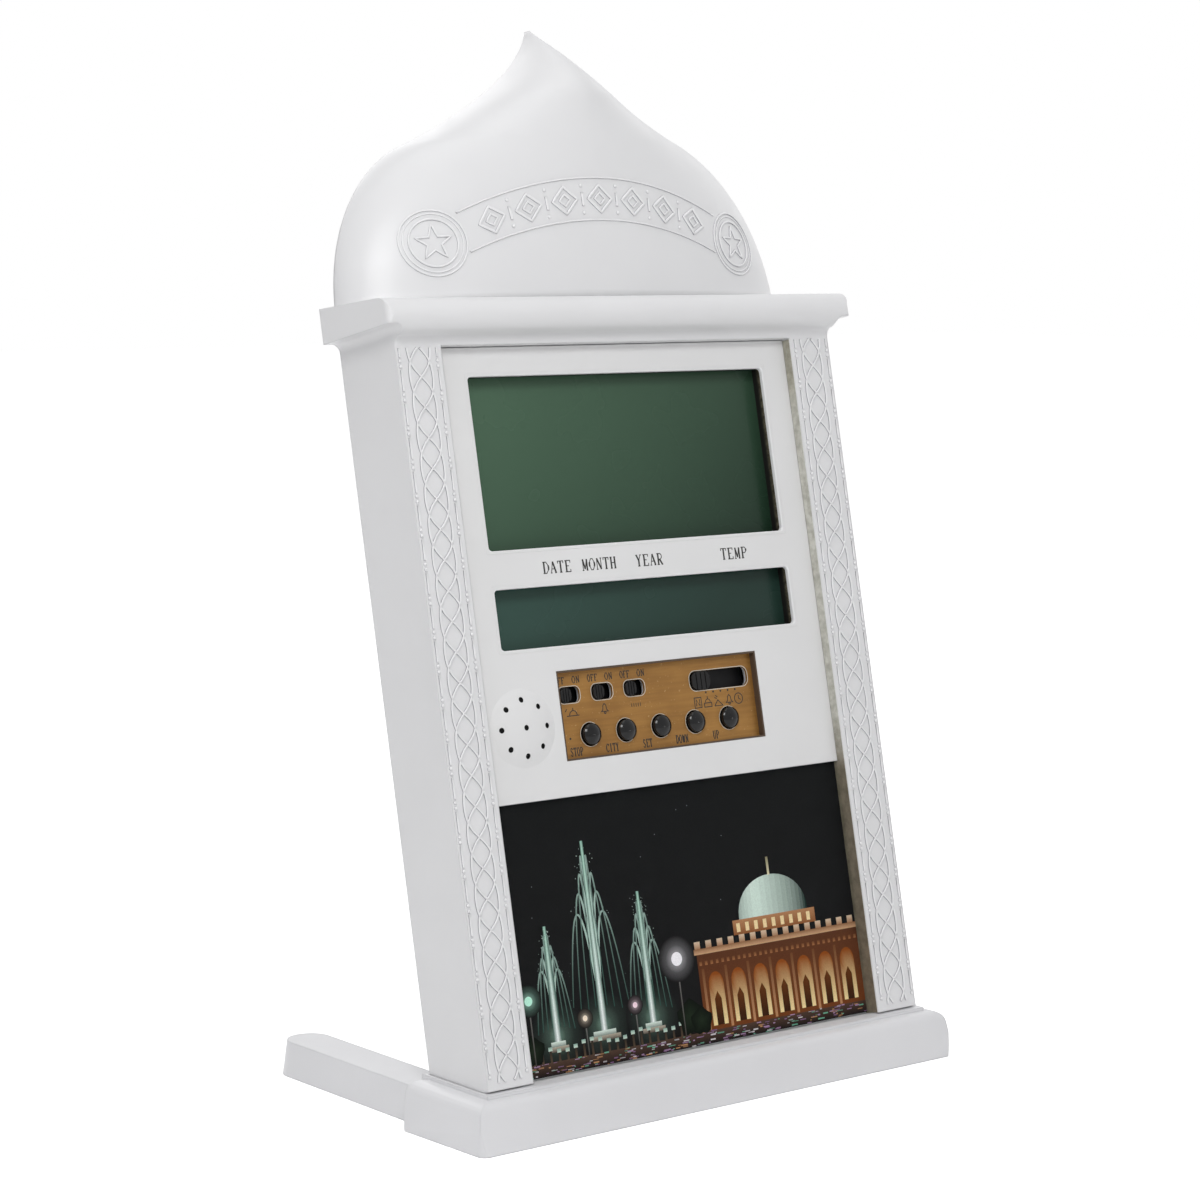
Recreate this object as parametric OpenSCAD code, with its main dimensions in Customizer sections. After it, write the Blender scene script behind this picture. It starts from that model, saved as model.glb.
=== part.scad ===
// Table clock for prayer times, shaped like a small mosque front.
// A flat case with an onion dome leans back on a plinth with two rear legs.
// The case is drawn upright in its own frame and then leaned back as one.
// Case frame: x across, y into the case from its front face, z up the face.
// World frame: origin on the table, mid width, below the foot of the front face.

/* [Case] */
// Width of the case across the two pilasters
case_w = 150; // [142:1:182]
// Depth of the case from the pilaster face to the back
case_d = 25.2; // [25:0.1:31]
// Height of the foot of the case above the pivot line, along the face
case_foot = 14.6; // [13:0.1:17]
// Height of the top of the recess above the foot
recess_h = 191.5; // [188:0.5:230]
// Wall thickness of the mouldings
wall = 2.2; // [1.8:0.1:2.7]
// Backward lean of the case in degrees
lean = 11.8; // [6:0.1:14]

/* [Pilasters and recess] */
// Width of each pilaster
pilaster_w = 14.5; // [12:0.5:17]
// Depth of the recess floor behind the pilaster face
recess_d = 3; // [2:0.1:4]
// Thickness of the fascia panel that fills the upper recess
fascia_t = 2; // [1.5:0.1:2.5]

/* [Cornice] */
// Overhang of the cornice beyond each side of the case
cornice_over = 4.8; // [3:0.1:7]
// Radius of the bullnose along the front
bullnose_r = 5; // [4:0.1:6]
// Radius of the front corners of the cornice seen from above
cornice_corner_r = 1.8; // [0.5:0.1:4]
// Rise of the cornice top from its front to its back
cornice_rise = 2.3; // [0:0.1:3]

/* [Dome] */
// Height of the dome above the cornice
dome_h = 79.8; // [66:0.2:96]
// Depth of the dome at its foot
dome_foot_d = 22.6; // [20:0.2:23.4]
// Depth of the dome where it swells most
dome_swell_d = 23.4; // [22:0.2:26]

/* [Displays] */
// Width of both display openings
display_w = 102.8; // [84:0.2:106]
// Height of the main display opening
main_display_h = 46.7; // [40:0.1:48]
// Height of the lower display opening
small_display_h = 16.6; // [12:0.1:18]
// Distance of the main opening below the top of the recess
main_display_drop = 7.7; // [6:0.1:9]
// Distance between the two openings
display_gap = 9.7; // [9:0.1:14]
// Depth of the display glass behind the fascia face
display_set = 4.5; // [4.2:0.1:5]

/* [Controls] */
// Width of the opening over the control plate
control_w = 68.6; // [66:0.2:72]
// Height of the opening over the control plate
control_h = 22.9; // [21:0.1:24]
// Distance of the control opening below the lower display
control_drop = 6.8; // [6:0.1:8]
// Radius of a push button
button_r = 2.85; // [2.3:0.05:3.45]
// Spacing of the push buttons
button_pitch = 12.1; // [10:0.1:12.6]
// Travel of a push button
button_travel = 0.6; // [0.4:0.1:0.8]
// Length of the slot of a two-position switch
switch_slot_w = 7.1; // [6.4:0.1:7.6]
// Height of the slot of a two-position switch
switch_slot_h = 4.3; // [3.8:0.1:4.8]
// Spacing of the two-position switches
switch_pitch = 11.1; // [10:0.1:11.8]
// Length of the slot of the mode switch
mode_slot_w = 20.7; // [18:0.1:21.5]
// Height of the slot of the mode switch
mode_slot_h = 5.3; // [4.6:0.1:5.6]

/* [Speaker] */
// Radius of the raised grille
grille_r = 10.4; // [9:0.1:11]
// Rise of the grille in front of the fascia
grille_rise = 1.8; // [1.2:0.1:2.2]
// Radius of a grille hole
grille_hole_r = 0.75; // [0.5:0.05:0.9]
// Radius of the ring of grille holes
grille_ring_r = 7.4; // [6:0.1:8]
// Radius of the speaker behind the grille
speaker_r = 13.5; // [12:0.5:14]

/* [Picture] */
// Height of the picture field
picture_h = 71.3; // [66:0.1:72]
// Thickness of the clear picture cover
cover_t = 1; // [0.8:0.1:1.2]
// Thickness of the picture card
card_t = 0.6; // [0.4:0.1:0.8]

/* [Stand] */
// Reach of the plinth beyond each side of the case
plinth_over = 7.2; // [5:0.2:12]
// Height of the plinth shoulder
plinth_h = 12.9; // [12:0.1:13.4]
// Distance of the plinth foot in front of the case face
plinth_front = 4.6; // [4:0.1:8]
// Reach of the plinth shoulder behind the back of the case
plinth_rear = 2; // [1.6:0.1:8]
// Width of a leg at the table
leg_w = 15; // [12:0.5:18]
// Height of a leg
leg_h = 9.6; // [8:0.1:10.5]
// Distance of the far end of the legs behind the pivot line
leg_reach = 100.5; // [80:0.5:120]
// Inset of each leg from the plinth end
leg_inset = 4.6; // [3:0.1:10]

/* [Batteries] */
// Radius of a cell
cell_r = 7.15; // [7:0.05:7.25]
// Length of a cell
cell_l = 50.5; // [49:0.1:51]

/* [Hidden] */
$fn = 64;
bit = 0.02;
fit = 0.2;
gap = 0.3;
half_w = case_w / 2;
recess_half = half_w - pilaster_w;
recess_top = case_foot + recess_h;
front_floor = recess_d + fascia_t;
front_wall_t = 2;
inside_front = front_floor + front_wall_t;
inside_half = half_w - wall;
inside_foot = case_foot + wall;

// Cornice heights, measured up the face
bullnose_z = recess_top + 7.3;
bullnose_y = -1;
cornice_top = bullnose_z + bullnose_r;
cornice_under = recess_top + 5.1;
cove_r = 2.4;
cornice_half = half_w + cornice_over;
ceiling_z = cornice_top - wall;
cornice_slope = cornice_rise / (case_d - bullnose_y);

// Dome outline and depth
dome_foot_half = half_w;
dome_rows_low = 13;
dome_rows_high = 11;
dome_rows = dome_rows_low + dome_rows_high;
dome_steps = 24;
dome_inner_rows = dome_rows - 2;
hollow_share = 0.985;
foot_roundness = 2.2;
neck_roundness = 1.75;
neck_share = 0.55;
tip_half = 0.35;
tip_d = 1.8;
swell_share = 0.71;

// Displays
main_display_top = recess_top - main_display_drop;
main_display_bottom = main_display_top - main_display_h;
small_display_top = main_display_bottom - display_gap;
small_display_bottom = small_display_top - small_display_h;
display_y = recess_d + display_set;
gasket_t = 0.5;
gasket_face = recess_d + 0.1;
glass_t = 2.6;
glass_lap = 2;
board_y = display_y + glass_t + 2.1;
board_t = 1.6;

// Controls
control_x = 0.3;
control_top = small_display_bottom - control_drop;
control_bottom = control_top - control_h;
plate_t = 0.6;
plate_lap = 1.6;
hole_grow = 0.5;
button_z = control_bottom + 5.9;
button_hole_r = button_r + gap;
button_flange_r = button_r + 1.4;
button_flange_t = 0.9;
switch_z = control_top - 6;
switch_x = -18.5;
switch_knob_w = 3.5;
mode_x = 22.4;
mode_knob_w = 6.4;
knob_proud = 0.8;
shield_t = 0.8;
shield_lap = 1.1;
switch_body_y = inside_front + 2 * gap + shield_t;
switch_slot_r = 1.6;
mode_slot_r = 2;

// Speaker
speaker_gap = 3.2;
speaker_x = control_x - control_w / 2 - speaker_gap - grille_r;
speaker_z = control_bottom + 9.5;

// Picture
picture_top = case_foot + picture_h;
card_y = front_floor - card_t;
cover_y = card_y - cover_t;

// Rear cover, posts and screws
rear_t = 2;
rear_y = case_d - rear_t;
boss_t = 4;
boss_y = case_d - boss_t;
post_r = 3;
boss_r = 4.6;
screw_r = 1.2;
screw_head_r = 2.7;
screw_head_t = 1.7;
post_x = inside_half - 6.6;
post_rows = [inside_foot + 7.2, (inside_foot + recess_top) / 2, recess_top + 0.6];
board_post_r = 2;
board_post_x = display_w / 2 + 3.4;
board_posts = [for (s = [-1, 1], z = [small_display_bottom - 4.2, main_display_top + 4.2])
    [s * board_post_x, z]];
control_post_r = 1.4;
control_posts = [for (x = [-1.5, 0.5, 1.5]) [x * button_pitch, (button_z + switch_z) / 2]];

// Battery bay
bay_wall = 1.4;
bay_x = cell_l / 2 + 3.4;
bay_z = inside_foot + 18.5;
cell_pitch = 2 * cell_r + 0.9;
bay_h = 2 * cell_pitch + 0.2;
bay_top = bay_z + bay_h;
bay_floor = inside_front + gap + 1.2;
cell_y = bay_floor + fit + cell_r;
door_t = 1.5;
door_y = case_d - door_t;
door_lap = 1.7;
door_hinge_r = 0.6;
door_gap = 1.2;
door_hinge_z = bay_z - door_lap - 0.4;
door_hinge_y = case_d - door_hinge_r;

// Stand
plinth_half = half_w + plinth_over;
plinth_back = case_d / cos(lean) + plinth_h * tan(lean) + plinth_rear;
tongue_x = 42;
tongue_w = 16;
tongue_y = 11;
tongue_t = 4;
tongue_rise = 11;
seat_gap = 0.05;
plinth_flare = 1;
plinth_round = 3;
plinth_corner_r = 2.5;
plinth_draft = 2.2;
collar_w = 1.4;
collar_h = 0.9;
leg_mid = plinth_half - leg_inset - leg_w / 2;
leg_draft = 1.3;
stand_wall = 2.2;
stand_hollow_h = 6.4;
tenon_l = 5;
screw_wall_y = plinth_back - tenon_l - fit - stand_wall;
stand_screw_z = 3.9;

// ---- helpers ----

// Leans the upright case back about the foot of its front face
module lean_back() {
    rotate([-lean, 0, 0]) children();
}

// Box from one corner to the other
module span(from, to) {
    translate(from) cube(to - from);
}

// Cylinder that runs into the case along +y
module into(x, y, z, r, l) {
    translate([x, y, z]) rotate([-90, 0, 0]) cylinder(r = r, h = l);
}

// Plate in the face plane with rounded corners, from y to y + t
module face_plate(x, y, z, w, h, r, t) {
    translate([x, y + t, z]) rotate([90, 0, 0]) linear_extrude(t) rounded(w, h, r);
}

// Rounded rectangle centred on the origin
module rounded(w, h, r) {
    union() {
        square([w - 2 * r, h], center = true);
        square([w, h - 2 * r], center = true);
        for (sx = [-1, 1], sz = [-1, 1]) translate([sx * (w / 2 - r), sz * (h / 2 - r)]) circle(r);
    }
}

// Shapes drawn in (y, z) and run along x
module run_x(l) {
    translate([-l / 2, 0, 0]) rotate([90, 0, 90]) linear_extrude(l) children();
}

// Shapes drawn in (x, z) and run along y
module run_y(from, to) {
    translate([0, to, 0]) rotate([90, 0, 0]) linear_extrude(to - from) children();
}

// Point on a cubic curve through its four handles
function cubic(p, t) = pow(1 - t, 3) * p[0] + 3 * pow(1 - t, 2) * t * p[1]
    + 3 * (1 - t) * t * t * p[2] + pow(t, 3) * p[3];

function unit(v) = v / norm(v);

// Points that round the corner q between p and s
function round_corner(p, q, s, r, n) = let (a = unit(p - q), b = unit(s - q),
    half = acos(a * b) / 2,
    c = q + unit(a + b) * r / sin(half),
    u = unit(q + a * r / tan(half) - c),
    w = unit(q + b * r / tan(half) - c))
    [for (i = [0:n]) c + r * unit(u * (1 - i / n) + w * i / n)];

// Outline with each corner rounded to its own radius
function round_corners(points, radii) = let (n = len(points))
    [for (i = [0:n - 1]) each (radii[i] > 0
        ? round_corner(points[(i + n - 1) % n], points[i], points[(i + 1) % n], radii[i], 6)
        : [points[i]])];

// ---- the dome's shape ----

// Half width against height: a full shoulder, then an ogee to the tip
dome_low = [[dome_foot_half, 0], [dome_foot_half, 0.314 * dome_h],
    [0.812 * dome_foot_half, 0.517 * dome_h], [0.64 * dome_foot_half, 0.58 * dome_h]];
dome_high = [dome_low[3], [0.588 * dome_foot_half, 0.599 * dome_h],
    [0.063 * dome_foot_half, 0.804 * dome_h], [tip_half, dome_h]];

function dome_row(j) = j <= dome_rows_low
    ? cubic(dome_low, j / dome_rows_low)
    : cubic(dome_high, (j - dome_rows_low) / dome_rows_high);

// Depth against height: it swells a little, then rounds back to the tip
function dome_depth(h) = let (s = h / dome_h)
    s < swell_share
    ? dome_foot_d + (dome_swell_d - dome_foot_d) * sin(90 * s / swell_share)
    : tip_d + (dome_swell_d - tip_d) * pow(max(0, 1 - pow((s - swell_share) / (1 - swell_share), 1.66)), 1.1);

// Power of a half section: nearly oval at the foot, with a softer flank above the neck
function section_power(h) = 2 / (foot_roundness
    - (foot_roundness - neck_roundness) * min(1, max(0, h) / (neck_share * dome_h)));

// One point of the skin; the foot row follows the slope of the cornice
function dome_point(a, d, h, k) = let (t = 180 * k / dome_steps,
    p = section_power(h),
    x = -a * sign(cos(t)) * pow(abs(cos(t)), p),
    y = case_d - d * pow(abs(sin(t)), p))
    [x, y, cornice_top + bit + (h <= 0 ? cornice_slope * (y - bullnose_y) : max(h, cornice_rise + h / 4))];

// ---- stand ----

// Outline of the plinth seen from the side: the front leans with the case
module plinth_side() {
    front_top = -plinth_front + tan(lean) * plinth_h;
    polygon(round_corners([[-plinth_front, 0], [front_top, plinth_h], [plinth_back, plinth_h],
        [plinth_back, 0]], [0, plinth_round, plinth_round, 0]));
}

// Outline of the plinth seen from above, flared a little to the back
module plinth_plan() {
    back_half = plinth_half + plinth_flare;
    polygon(round_corners([[-plinth_half, -plinth_front], [plinth_half, -plinth_front],
        [back_half, plinth_back], [-back_half, plinth_back]], [1, 1, 1, 1] * plinth_corner_r));
}

// Outline of the plinth seen from the front, with drafted and rounded ends
module plinth_end() {
    foot_half = plinth_half + plinth_flare;
    top_half = foot_half - plinth_draft;
    polygon(round_corners([[-foot_half, 0], [-top_half, plinth_h], [top_half, plinth_h],
        [foot_half, 0]], [0, 1, 1, 0] * (plinth_round + 1)));
}

// Block of the plinth, solid
module plinth_block() {
    intersection() {
        run_x(2 * plinth_half + 20) plinth_side();
        translate([0, 0, -1]) linear_extrude(plinth_h + 2) plinth_plan();
        run_y(-plinth_front - 5, plinth_back + 5) plinth_end();
    }
}

// The case foot as a block in the case frame, grown by a clearance
module case_foot_block(grow, from_z, to_z) {
    lean_back() span([-half_w - grow, -grow, from_z], [half_w + grow, case_d + grow, to_z]);
}

module stand_plinth() {
    seat = case_foot - seat_gap;
    rib_count = 5;
    rib_pitch = 2 * (plinth_half - stand_wall) / (rib_count + 1);
    color("whitesmoke") difference() {
        union() {
            plinth_block();
            // raised collar round the foot of the case
            span([-half_w - collar_w, plinth_h * tan(lean) - collar_w, plinth_h - 2],
                [half_w + collar_w, plinth_back - 0.4, plinth_h + collar_h]);
            // two tongues that enter the case
            lean_back() for (s = [-1, 1])
                span([s * tongue_x - tongue_w / 2, tongue_y, seat - 1.5],
                    [s * tongue_x + tongue_w / 2, tongue_y + tongue_t, seat + tongue_rise]);
        }
        // seat for the foot of the case, cut round the tongues
        difference() {
            case_foot_block(gap, seat, seat + 30);
            lean_back() for (s = [-1, 1])
                span([s * tongue_x - tongue_w / 2, tongue_y, seat - 1.5],
                    [s * tongue_x + tongue_w / 2, tongue_y + tongue_t, seat + tongue_rise]);
        }
        // hollow underside between ribs
        for (i = [0:rib_count]) {
            x0 = -plinth_half + stand_wall + i * rib_pitch + (i == 0 ? 0.4 : 0.8);
            x1 = -plinth_half + stand_wall + (i + 1) * rib_pitch - (i == rib_count ? 0.4 : 0.8);
            span([x0, -plinth_front + stand_wall + 1.2, -1], [x1, screw_wall_y, stand_hollow_h]);
        }
        // sockets for the legs and their screws
        for (s = [-1, 1]) {
            leg_tenon(s, fit);
            into(s * leg_mid, screw_wall_y - 1, stand_screw_z, screw_r + 0.1, stand_wall + 2);
        }
    }
}

// Tenon of a leg that enters the plinth back
module leg_tenon(s, grow) {
    span([s * leg_mid - 4 - grow, plinth_back - tenon_l - grow, 1.4 - grow],
        [s * leg_mid + 4 + grow, plinth_back + 1, leg_h - 3 + grow]);
}

// One leg: drafted sides, a round far end and a ribbed hollow underside
module leg(s) {
    end_y = leg_reach - leg_w / 2;
    top_half = leg_w / 2 - leg_draft;
    color("whitesmoke") translate([s * leg_mid, 0, 0]) difference() {
        union() {
            run_y(plinth_back, end_y)
                polygon([[-leg_w / 2, 0], [leg_w / 2, 0], [top_half, leg_h], [-top_half, leg_h]]);
            translate([0, end_y, 0]) cylinder(r1 = leg_w / 2, r2 = top_half, h = leg_h);
            translate([-s * leg_mid, 0, 0]) leg_tenon(s, 0);
        }
        difference() {
            translate([0, 0, -1]) union() {
                span([-leg_w / 2 + stand_wall, plinth_back + 3, 0],
                    [leg_w / 2 - stand_wall, end_y, leg_h - 2 * stand_wall + 2]);
                translate([0, end_y, 0])
                    cylinder(r = leg_w / 2 - stand_wall, h = leg_h - 2 * stand_wall + 2);
            }
            for (y = [plinth_back + 20:18:end_y]) translate([-leg_w / 2, y, -2]) cube([leg_w, 1.4, leg_h]);
        }
        into(0, plinth_back - tenon_l - 1, stand_screw_z, screw_r, 12);
    }
}

module stand_leg_left() {
    leg(-1);
}

module stand_leg_right() {
    leg(1);
}

// Screws that draw the legs to the plinth from inside its hollow
module stand_screws() {
    color("silver") for (s = [-1, 1]) {
        into(s * leg_mid, screw_wall_y - 1.2, stand_screw_z, 2.2, 1.2);
        into(s * leg_mid, screw_wall_y - bit, stand_screw_z, screw_r - bit, 12);
    }
}

// ---- case ----

// Side outline of the cornice: sloped top, bullnose front and cove below
module cornice_side() {
    cove_y = -cove_r;
    cove_z = bullnose_z - bullnose_r + 0.2 - cove_r;
    difference() {
        union() {
            polygon([[0, cove_z], [case_d, cove_z], [case_d, cornice_top + cornice_rise],
                [bullnose_y, cornice_top]]);
            translate([bullnose_y, bullnose_z - bullnose_r]) square([6, 2 * bullnose_r]);
            translate([bullnose_y, bullnose_z]) circle(bullnose_r);
            translate([cove_y, cove_z]) square([cove_r + 1, cove_r + 1]);
        }
        translate([cove_y, cove_z]) circle(cove_r);
    }
}

// Front outline of the cornice: overhanging ends with a small cove below
module cornice_front() {
    low = bullnose_z - bullnose_r - cove_r - 1;
    difference() {
        union() {
            translate([-cornice_half, cornice_under])
                square([2 * cornice_half, cornice_top + cornice_rise - cornice_under + 1]);
            translate([-half_w - cove_r, low]) square([2 * (half_w + cove_r), cornice_under - low + bit]);
        }
        for (s = [-1, 1]) {
            translate([s * (half_w + cove_r), cornice_under - cove_r]) circle(cove_r);
            translate([s > 0 ? half_w : -half_w - 10, low - 1])
                square([10, cornice_under - cove_r - low + 1]);
        }
    }
}

// Plan outline of the cornice with rounded front corners
module cornice_plan() {
    r = cornice_corner_r;
    front = bullnose_y - bullnose_r;
    union() {
        translate([-cornice_half, front + r]) square([2 * cornice_half, case_d - front - r]);
        translate([-cornice_half + r, front]) square([2 * (cornice_half - r), case_d - front]);
        for (s = [-1, 1]) translate([s * (cornice_half - r), front + r]) circle(r);
    }
}

module cornice() {
    intersection() {
        run_x(2 * cornice_half + 4) cornice_side();
        run_y(-20, case_d + 5) cornice_front();
        translate([0, 0, recess_top - 5]) linear_extrude(30) cornice_plan();
    }
}

// Openings in the face plane, shared by the fascia and the wall behind it
module display_opening(top, h, from_y, to_y, grow) {
    span([-display_w / 2 - grow, from_y, top - h - grow],
        [display_w / 2 + grow, to_y, top + grow]);
}

module control_opening(from_y, to_y, grow) {
    span([control_x - control_w / 2 - grow, from_y, control_bottom - grow],
        [control_x + control_w / 2 + grow, to_y, control_top + grow]);
}

// Holes for the buttons and slots for the switches, grown where they pass the wall
module control_holes(from_y, t, grow) {
    for (i = [-2:2]) into(i * button_pitch, from_y, button_z, button_hole_r + grow, t);
    for (i = [-1:1])
        face_plate(switch_x + i * switch_pitch, from_y, switch_z, switch_slot_w + 2 * grow,
            switch_slot_h + 2 * grow, switch_slot_r + grow, t);
    face_plate(mode_x, from_y, switch_z, mode_slot_w + 2 * grow, mode_slot_h + 2 * grow,
        mode_slot_r + grow, t);
}

// Posts that carry the boards and the rear cover
module case_posts() {
    for (s = [-1, 1], z = post_rows) into(s * post_x, wall, z, post_r, boss_y - wall);
    for (p = board_posts) into(p[0], inside_front - 0.5, p[1], board_post_r, board_y - inside_front + 0.5);
    for (p = control_posts)
        into(p[0], inside_front - 0.5, p[1], control_post_r, board_y - inside_front + 0.5);
}

module front_case() {
    color("whitesmoke") difference() {
        union() {
            difference() {
                union() {
                    span([-half_w, 0, case_foot], [half_w, case_d, recess_top + 6]);
                    cornice();
                }
                // recess in the face
                span([-recess_half, -10, case_foot - 1], [recess_half, front_floor, recess_top]);
                // hollow of the case
                span([-inside_half, inside_front, inside_foot],
                    [inside_half, case_d + 1, ceiling_z]);
                // hollow pilasters
                for (s = [-1, 1]) mirror([s < 0 ? 1 : 0, 0, 0])
                    span([recess_half + wall - 0.4, wall, inside_foot],
                        [inside_half, inside_front + 1, ceiling_z]);
                // seat for the rear cover in the ceiling
                span([-inside_half, rear_y - fit, ceiling_z - 1],
                    [inside_half, case_d + 1, cornice_top + 5]);
            }
            case_posts();
        }
        // windows
        display_opening(main_display_top, main_display_h, 0, inside_front + 1, gasket_t);
        display_opening(small_display_top, small_display_h, 0, inside_front + 1, gasket_t);
        // pocket of the control plate
        control_opening(front_floor - 1, front_floor + plate_t, plate_lap + fit);
        control_holes(0, inside_front + 1, hole_grow);
        // sound opening
        into(speaker_x, 0, speaker_z, grille_r - 1, inside_front + 1);
        // screw holes in the posts
        for (s = [-1, 1], z = post_rows) into(s * post_x, wall + 6, z, screw_r, case_d);
        for (p = concat(board_posts, control_posts)) into(p[0], inside_front + 0.5, p[1], 0.8, case_d);
        // slots for the tongues of the stand
        for (s = [-1, 1]) span([s * tongue_x - tongue_w / 2 - gap, tongue_y - gap, case_foot - 1],
            [s * tongue_x + tongue_w / 2 + gap, tongue_y + tongue_t + gap, inside_foot + 1]);
    }
}

// Solid under a skin of rows of points; every row runs from side to side
module skin_solid(rows) {
    n = len(rows[0]);
    last = len(rows) - 1;
    sides = [for (j = [0:last - 1], k = [0:n - 2]) let (a = j * n + k)
        each [[a, a + n + 1, a + 1], [a, a + n, a + n + 1]]];
    foot = [[for (k = [0:n - 1]) k]];
    tip = [[for (k = [0:n - 1]) last * n + n - 1 - k]];
    back = [concat([for (j = [0:last]) (last - j) * n], [for (j = [0:last]) j * n + n - 1])];
    polyhedron(points = [for (row = rows) each row], faces = concat(sides, foot, tip, back),
        convexity = 6);
}

// Rows of the hollow run on past the back and below the foot of the dome
function hollow_row(j) = let (r = dome_row(max(j, 0)), d = dome_depth(r[1]) - wall,
    half = max(0.6, r[0] - wall), drop = j < 0 ? 3 : 0,
    row = [for (k = [0:dome_steps]) dome_point(half, max(0.9, d), r[1] * hollow_share, k)])
    [for (p = concat([row[0] + [0, 1, 0]], row, [row[dome_steps] + [0, 1, 0]])) p - [0, 0, drop]];

// Shell of the dome: half oval sections that follow an ogee
module dome_front() {
    color("whitesmoke") difference() {
        skin_solid([for (j = [0:dome_rows]) let (r = dome_row(j), d = dome_depth(r[1]))
            [for (k = [0:dome_steps]) dome_point(r[0], d, r[1], k)]]);
        skin_solid([for (j = [-1:dome_inner_rows]) hollow_row(j)]);
    }
}

// Back outline of the case and dome, drawn inside their walls
module rear_outline(inset) {
    right = [for (j = [1:dome_inner_rows]) let (r = dome_row(j))
        [max(0.6, r[0] - wall) - 2 * inset, cornice_top + r[1] * hollow_share - inset]];
    left = [for (j = [1:dome_inner_rows]) let (r = right[dome_inner_rows - j]) [-r[0], r[1]]];
    polygon(concat([[-inside_half + inset, inside_foot + inset], [inside_half - inset, inside_foot + inset],
        [inside_half - inset, cornice_top], [inside_half - 2 * inset, cornice_top]],
        right, left, [[-inside_half + 2 * inset, cornice_top], [-inside_half + inset, cornice_top]]));
}

module rear_cover() {
    color("whitesmoke") difference() {
        union() {
            run_y(rear_y, case_d) rear_outline(fit);
            for (s = [-1, 1], z = post_rows) into(s * post_x, boss_y, z, boss_r, boss_t);
            // battery bay
            span([-bay_x - bay_wall, bay_floor - 1.2, bay_z - bay_wall],
                [bay_x + bay_wall, rear_y + bit, bay_top + bay_wall]);
            // ribs across the plate
            for (z = [bay_top + 22, (main_display_bottom + main_display_top) / 2, recess_top - 4])
                span([-inside_half + 12, rear_y - 2, z], [inside_half - 12, rear_y + bit, z + 1.2]);
        }
        // open bay and its door rebate
        span([-bay_x, bay_floor, bay_z], [bay_x, case_d + 1, bay_top]);
        span([-bay_x - door_lap - fit, door_y - 0.1, bay_z - door_lap - door_gap],
            [bay_x + door_lap + fit, case_d + 1, bay_top + door_lap + fit]);
        // notches for the two hooks of the door
        for (s = [-1, 1]) span([s * bay_x * 0.6 - 3.3, rear_y - 1, bay_z - door_lap - door_gap - 0.6],
            [s * bay_x * 0.6 + 3.3, case_d + 1, bay_z]);
        // counterbored screw holes
        for (s = [-1, 1], z = post_rows) {
            into(s * post_x, boss_y - 1, z, screw_r + 0.2, boss_t + 2);
            into(s * post_x, case_d - 2, z, screw_head_r + fit, 3);
        }
        // keyhole for hanging on a wall
        into(0, rear_y - 3, cornice_top + 12, 4, rear_t + 6);
        into(0, rear_y - 3, cornice_top + 19, 2, rear_t + 6);
        span([-2, rear_y - 3, cornice_top + 12], [2, case_d + 1, cornice_top + 19]);
    }
}

// Screws of the rear cover
module case_screws() {
    color("silver") for (s = [-1, 1], z = post_rows) {
        into(s * post_x, case_d - 2, z, screw_head_r, screw_head_t);
        into(s * post_x, case_d - 14, z, screw_r - 0.05, 12.5);
    }
}

// Fascia with its windows and the raised speaker grille
module fascia_panel() {
    edge = 0.25;
    cap_r = (grille_r * grille_r + grille_rise * grille_rise) / (2 * grille_rise);
    cap_y = recess_d - grille_rise + cap_r;
    skin = 1.2;
    color("white") difference() {
        union() {
            span([-recess_half + edge, recess_d, picture_top],
                [recess_half - edge, front_floor, recess_top - edge]);
            intersection() {
                translate([speaker_x, cap_y, speaker_z]) sphere(cap_r, $fn = 96);
                into(speaker_x, recess_d - 3, speaker_z, grille_r, 4);
            }
        }
        display_opening(main_display_top, main_display_h, 0, front_floor + 1, gasket_t);
        display_opening(small_display_top, small_display_h, 0, front_floor + 1, gasket_t);
        control_opening(0, front_floor + 1, gasket_t);
        // hollow behind the grille
        intersection() {
            translate([speaker_x, cap_y, speaker_z]) sphere(cap_r - skin, $fn = 96);
            into(speaker_x, recess_d - 3, speaker_z, grille_r - 1.2, 8);
        }
        // one hole in the middle and a ring of eight
        into(speaker_x, 0, speaker_z, grille_hole_r, front_floor + 1);
        for (a = [0:45:315])
            into(speaker_x + grille_ring_r * cos(a), 0, speaker_z + grille_ring_r * sin(a),
                grille_hole_r, front_floor + 1);
    }
}

// Gaskets that line the openings down to the glass or the plate
module main_gasket() {
    color("saddlebrown") difference() {
        display_opening(main_display_top, main_display_h, gasket_face, display_y, gasket_t - bit);
        display_opening(main_display_top, main_display_h, 0, display_y + 1, 0);
    }
}

module small_gasket() {
    color("saddlebrown") difference() {
        display_opening(small_display_top, small_display_h, gasket_face, display_y, gasket_t - bit);
        display_opening(small_display_top, small_display_h, 0, display_y + 1, 0);
    }
}

module control_gasket() {
    color("saddlebrown") difference() {
        control_opening(gasket_face, front_floor, gasket_t - bit);
        control_opening(0, front_floor + 1, 0);
    }
}

module main_display() {
    color("darkslategray")
        display_opening(main_display_top, main_display_h, display_y, display_y + glass_t, glass_lap);
}

module small_display() {
    color("darkslategray")
        display_opening(small_display_top, small_display_h, display_y, display_y + glass_t, glass_lap);
}

// Holder between a glass and the board: an open frame with a middle bar
module display_holder(top, h) {
    back = display_y + glass_t;
    color("ivory") difference() {
        display_opening(top, h, back, board_y, glass_lap);
        for (s = [-1, 1]) mirror([s < 0 ? 1 : 0, 0, 0])
            span([1, back - 1, top - h + 1], [display_w / 2 - 1, board_y + 1, top - 3]);
        span([-display_w / 2 + 4, back - 1, top - 1.6], [display_w / 2 - 4, board_y + 1, top + 0.6]);
    }
}

module main_display_holder() {
    display_holder(main_display_top, main_display_h);
}

module small_display_holder() {
    display_holder(small_display_top, small_display_h);
}

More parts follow.
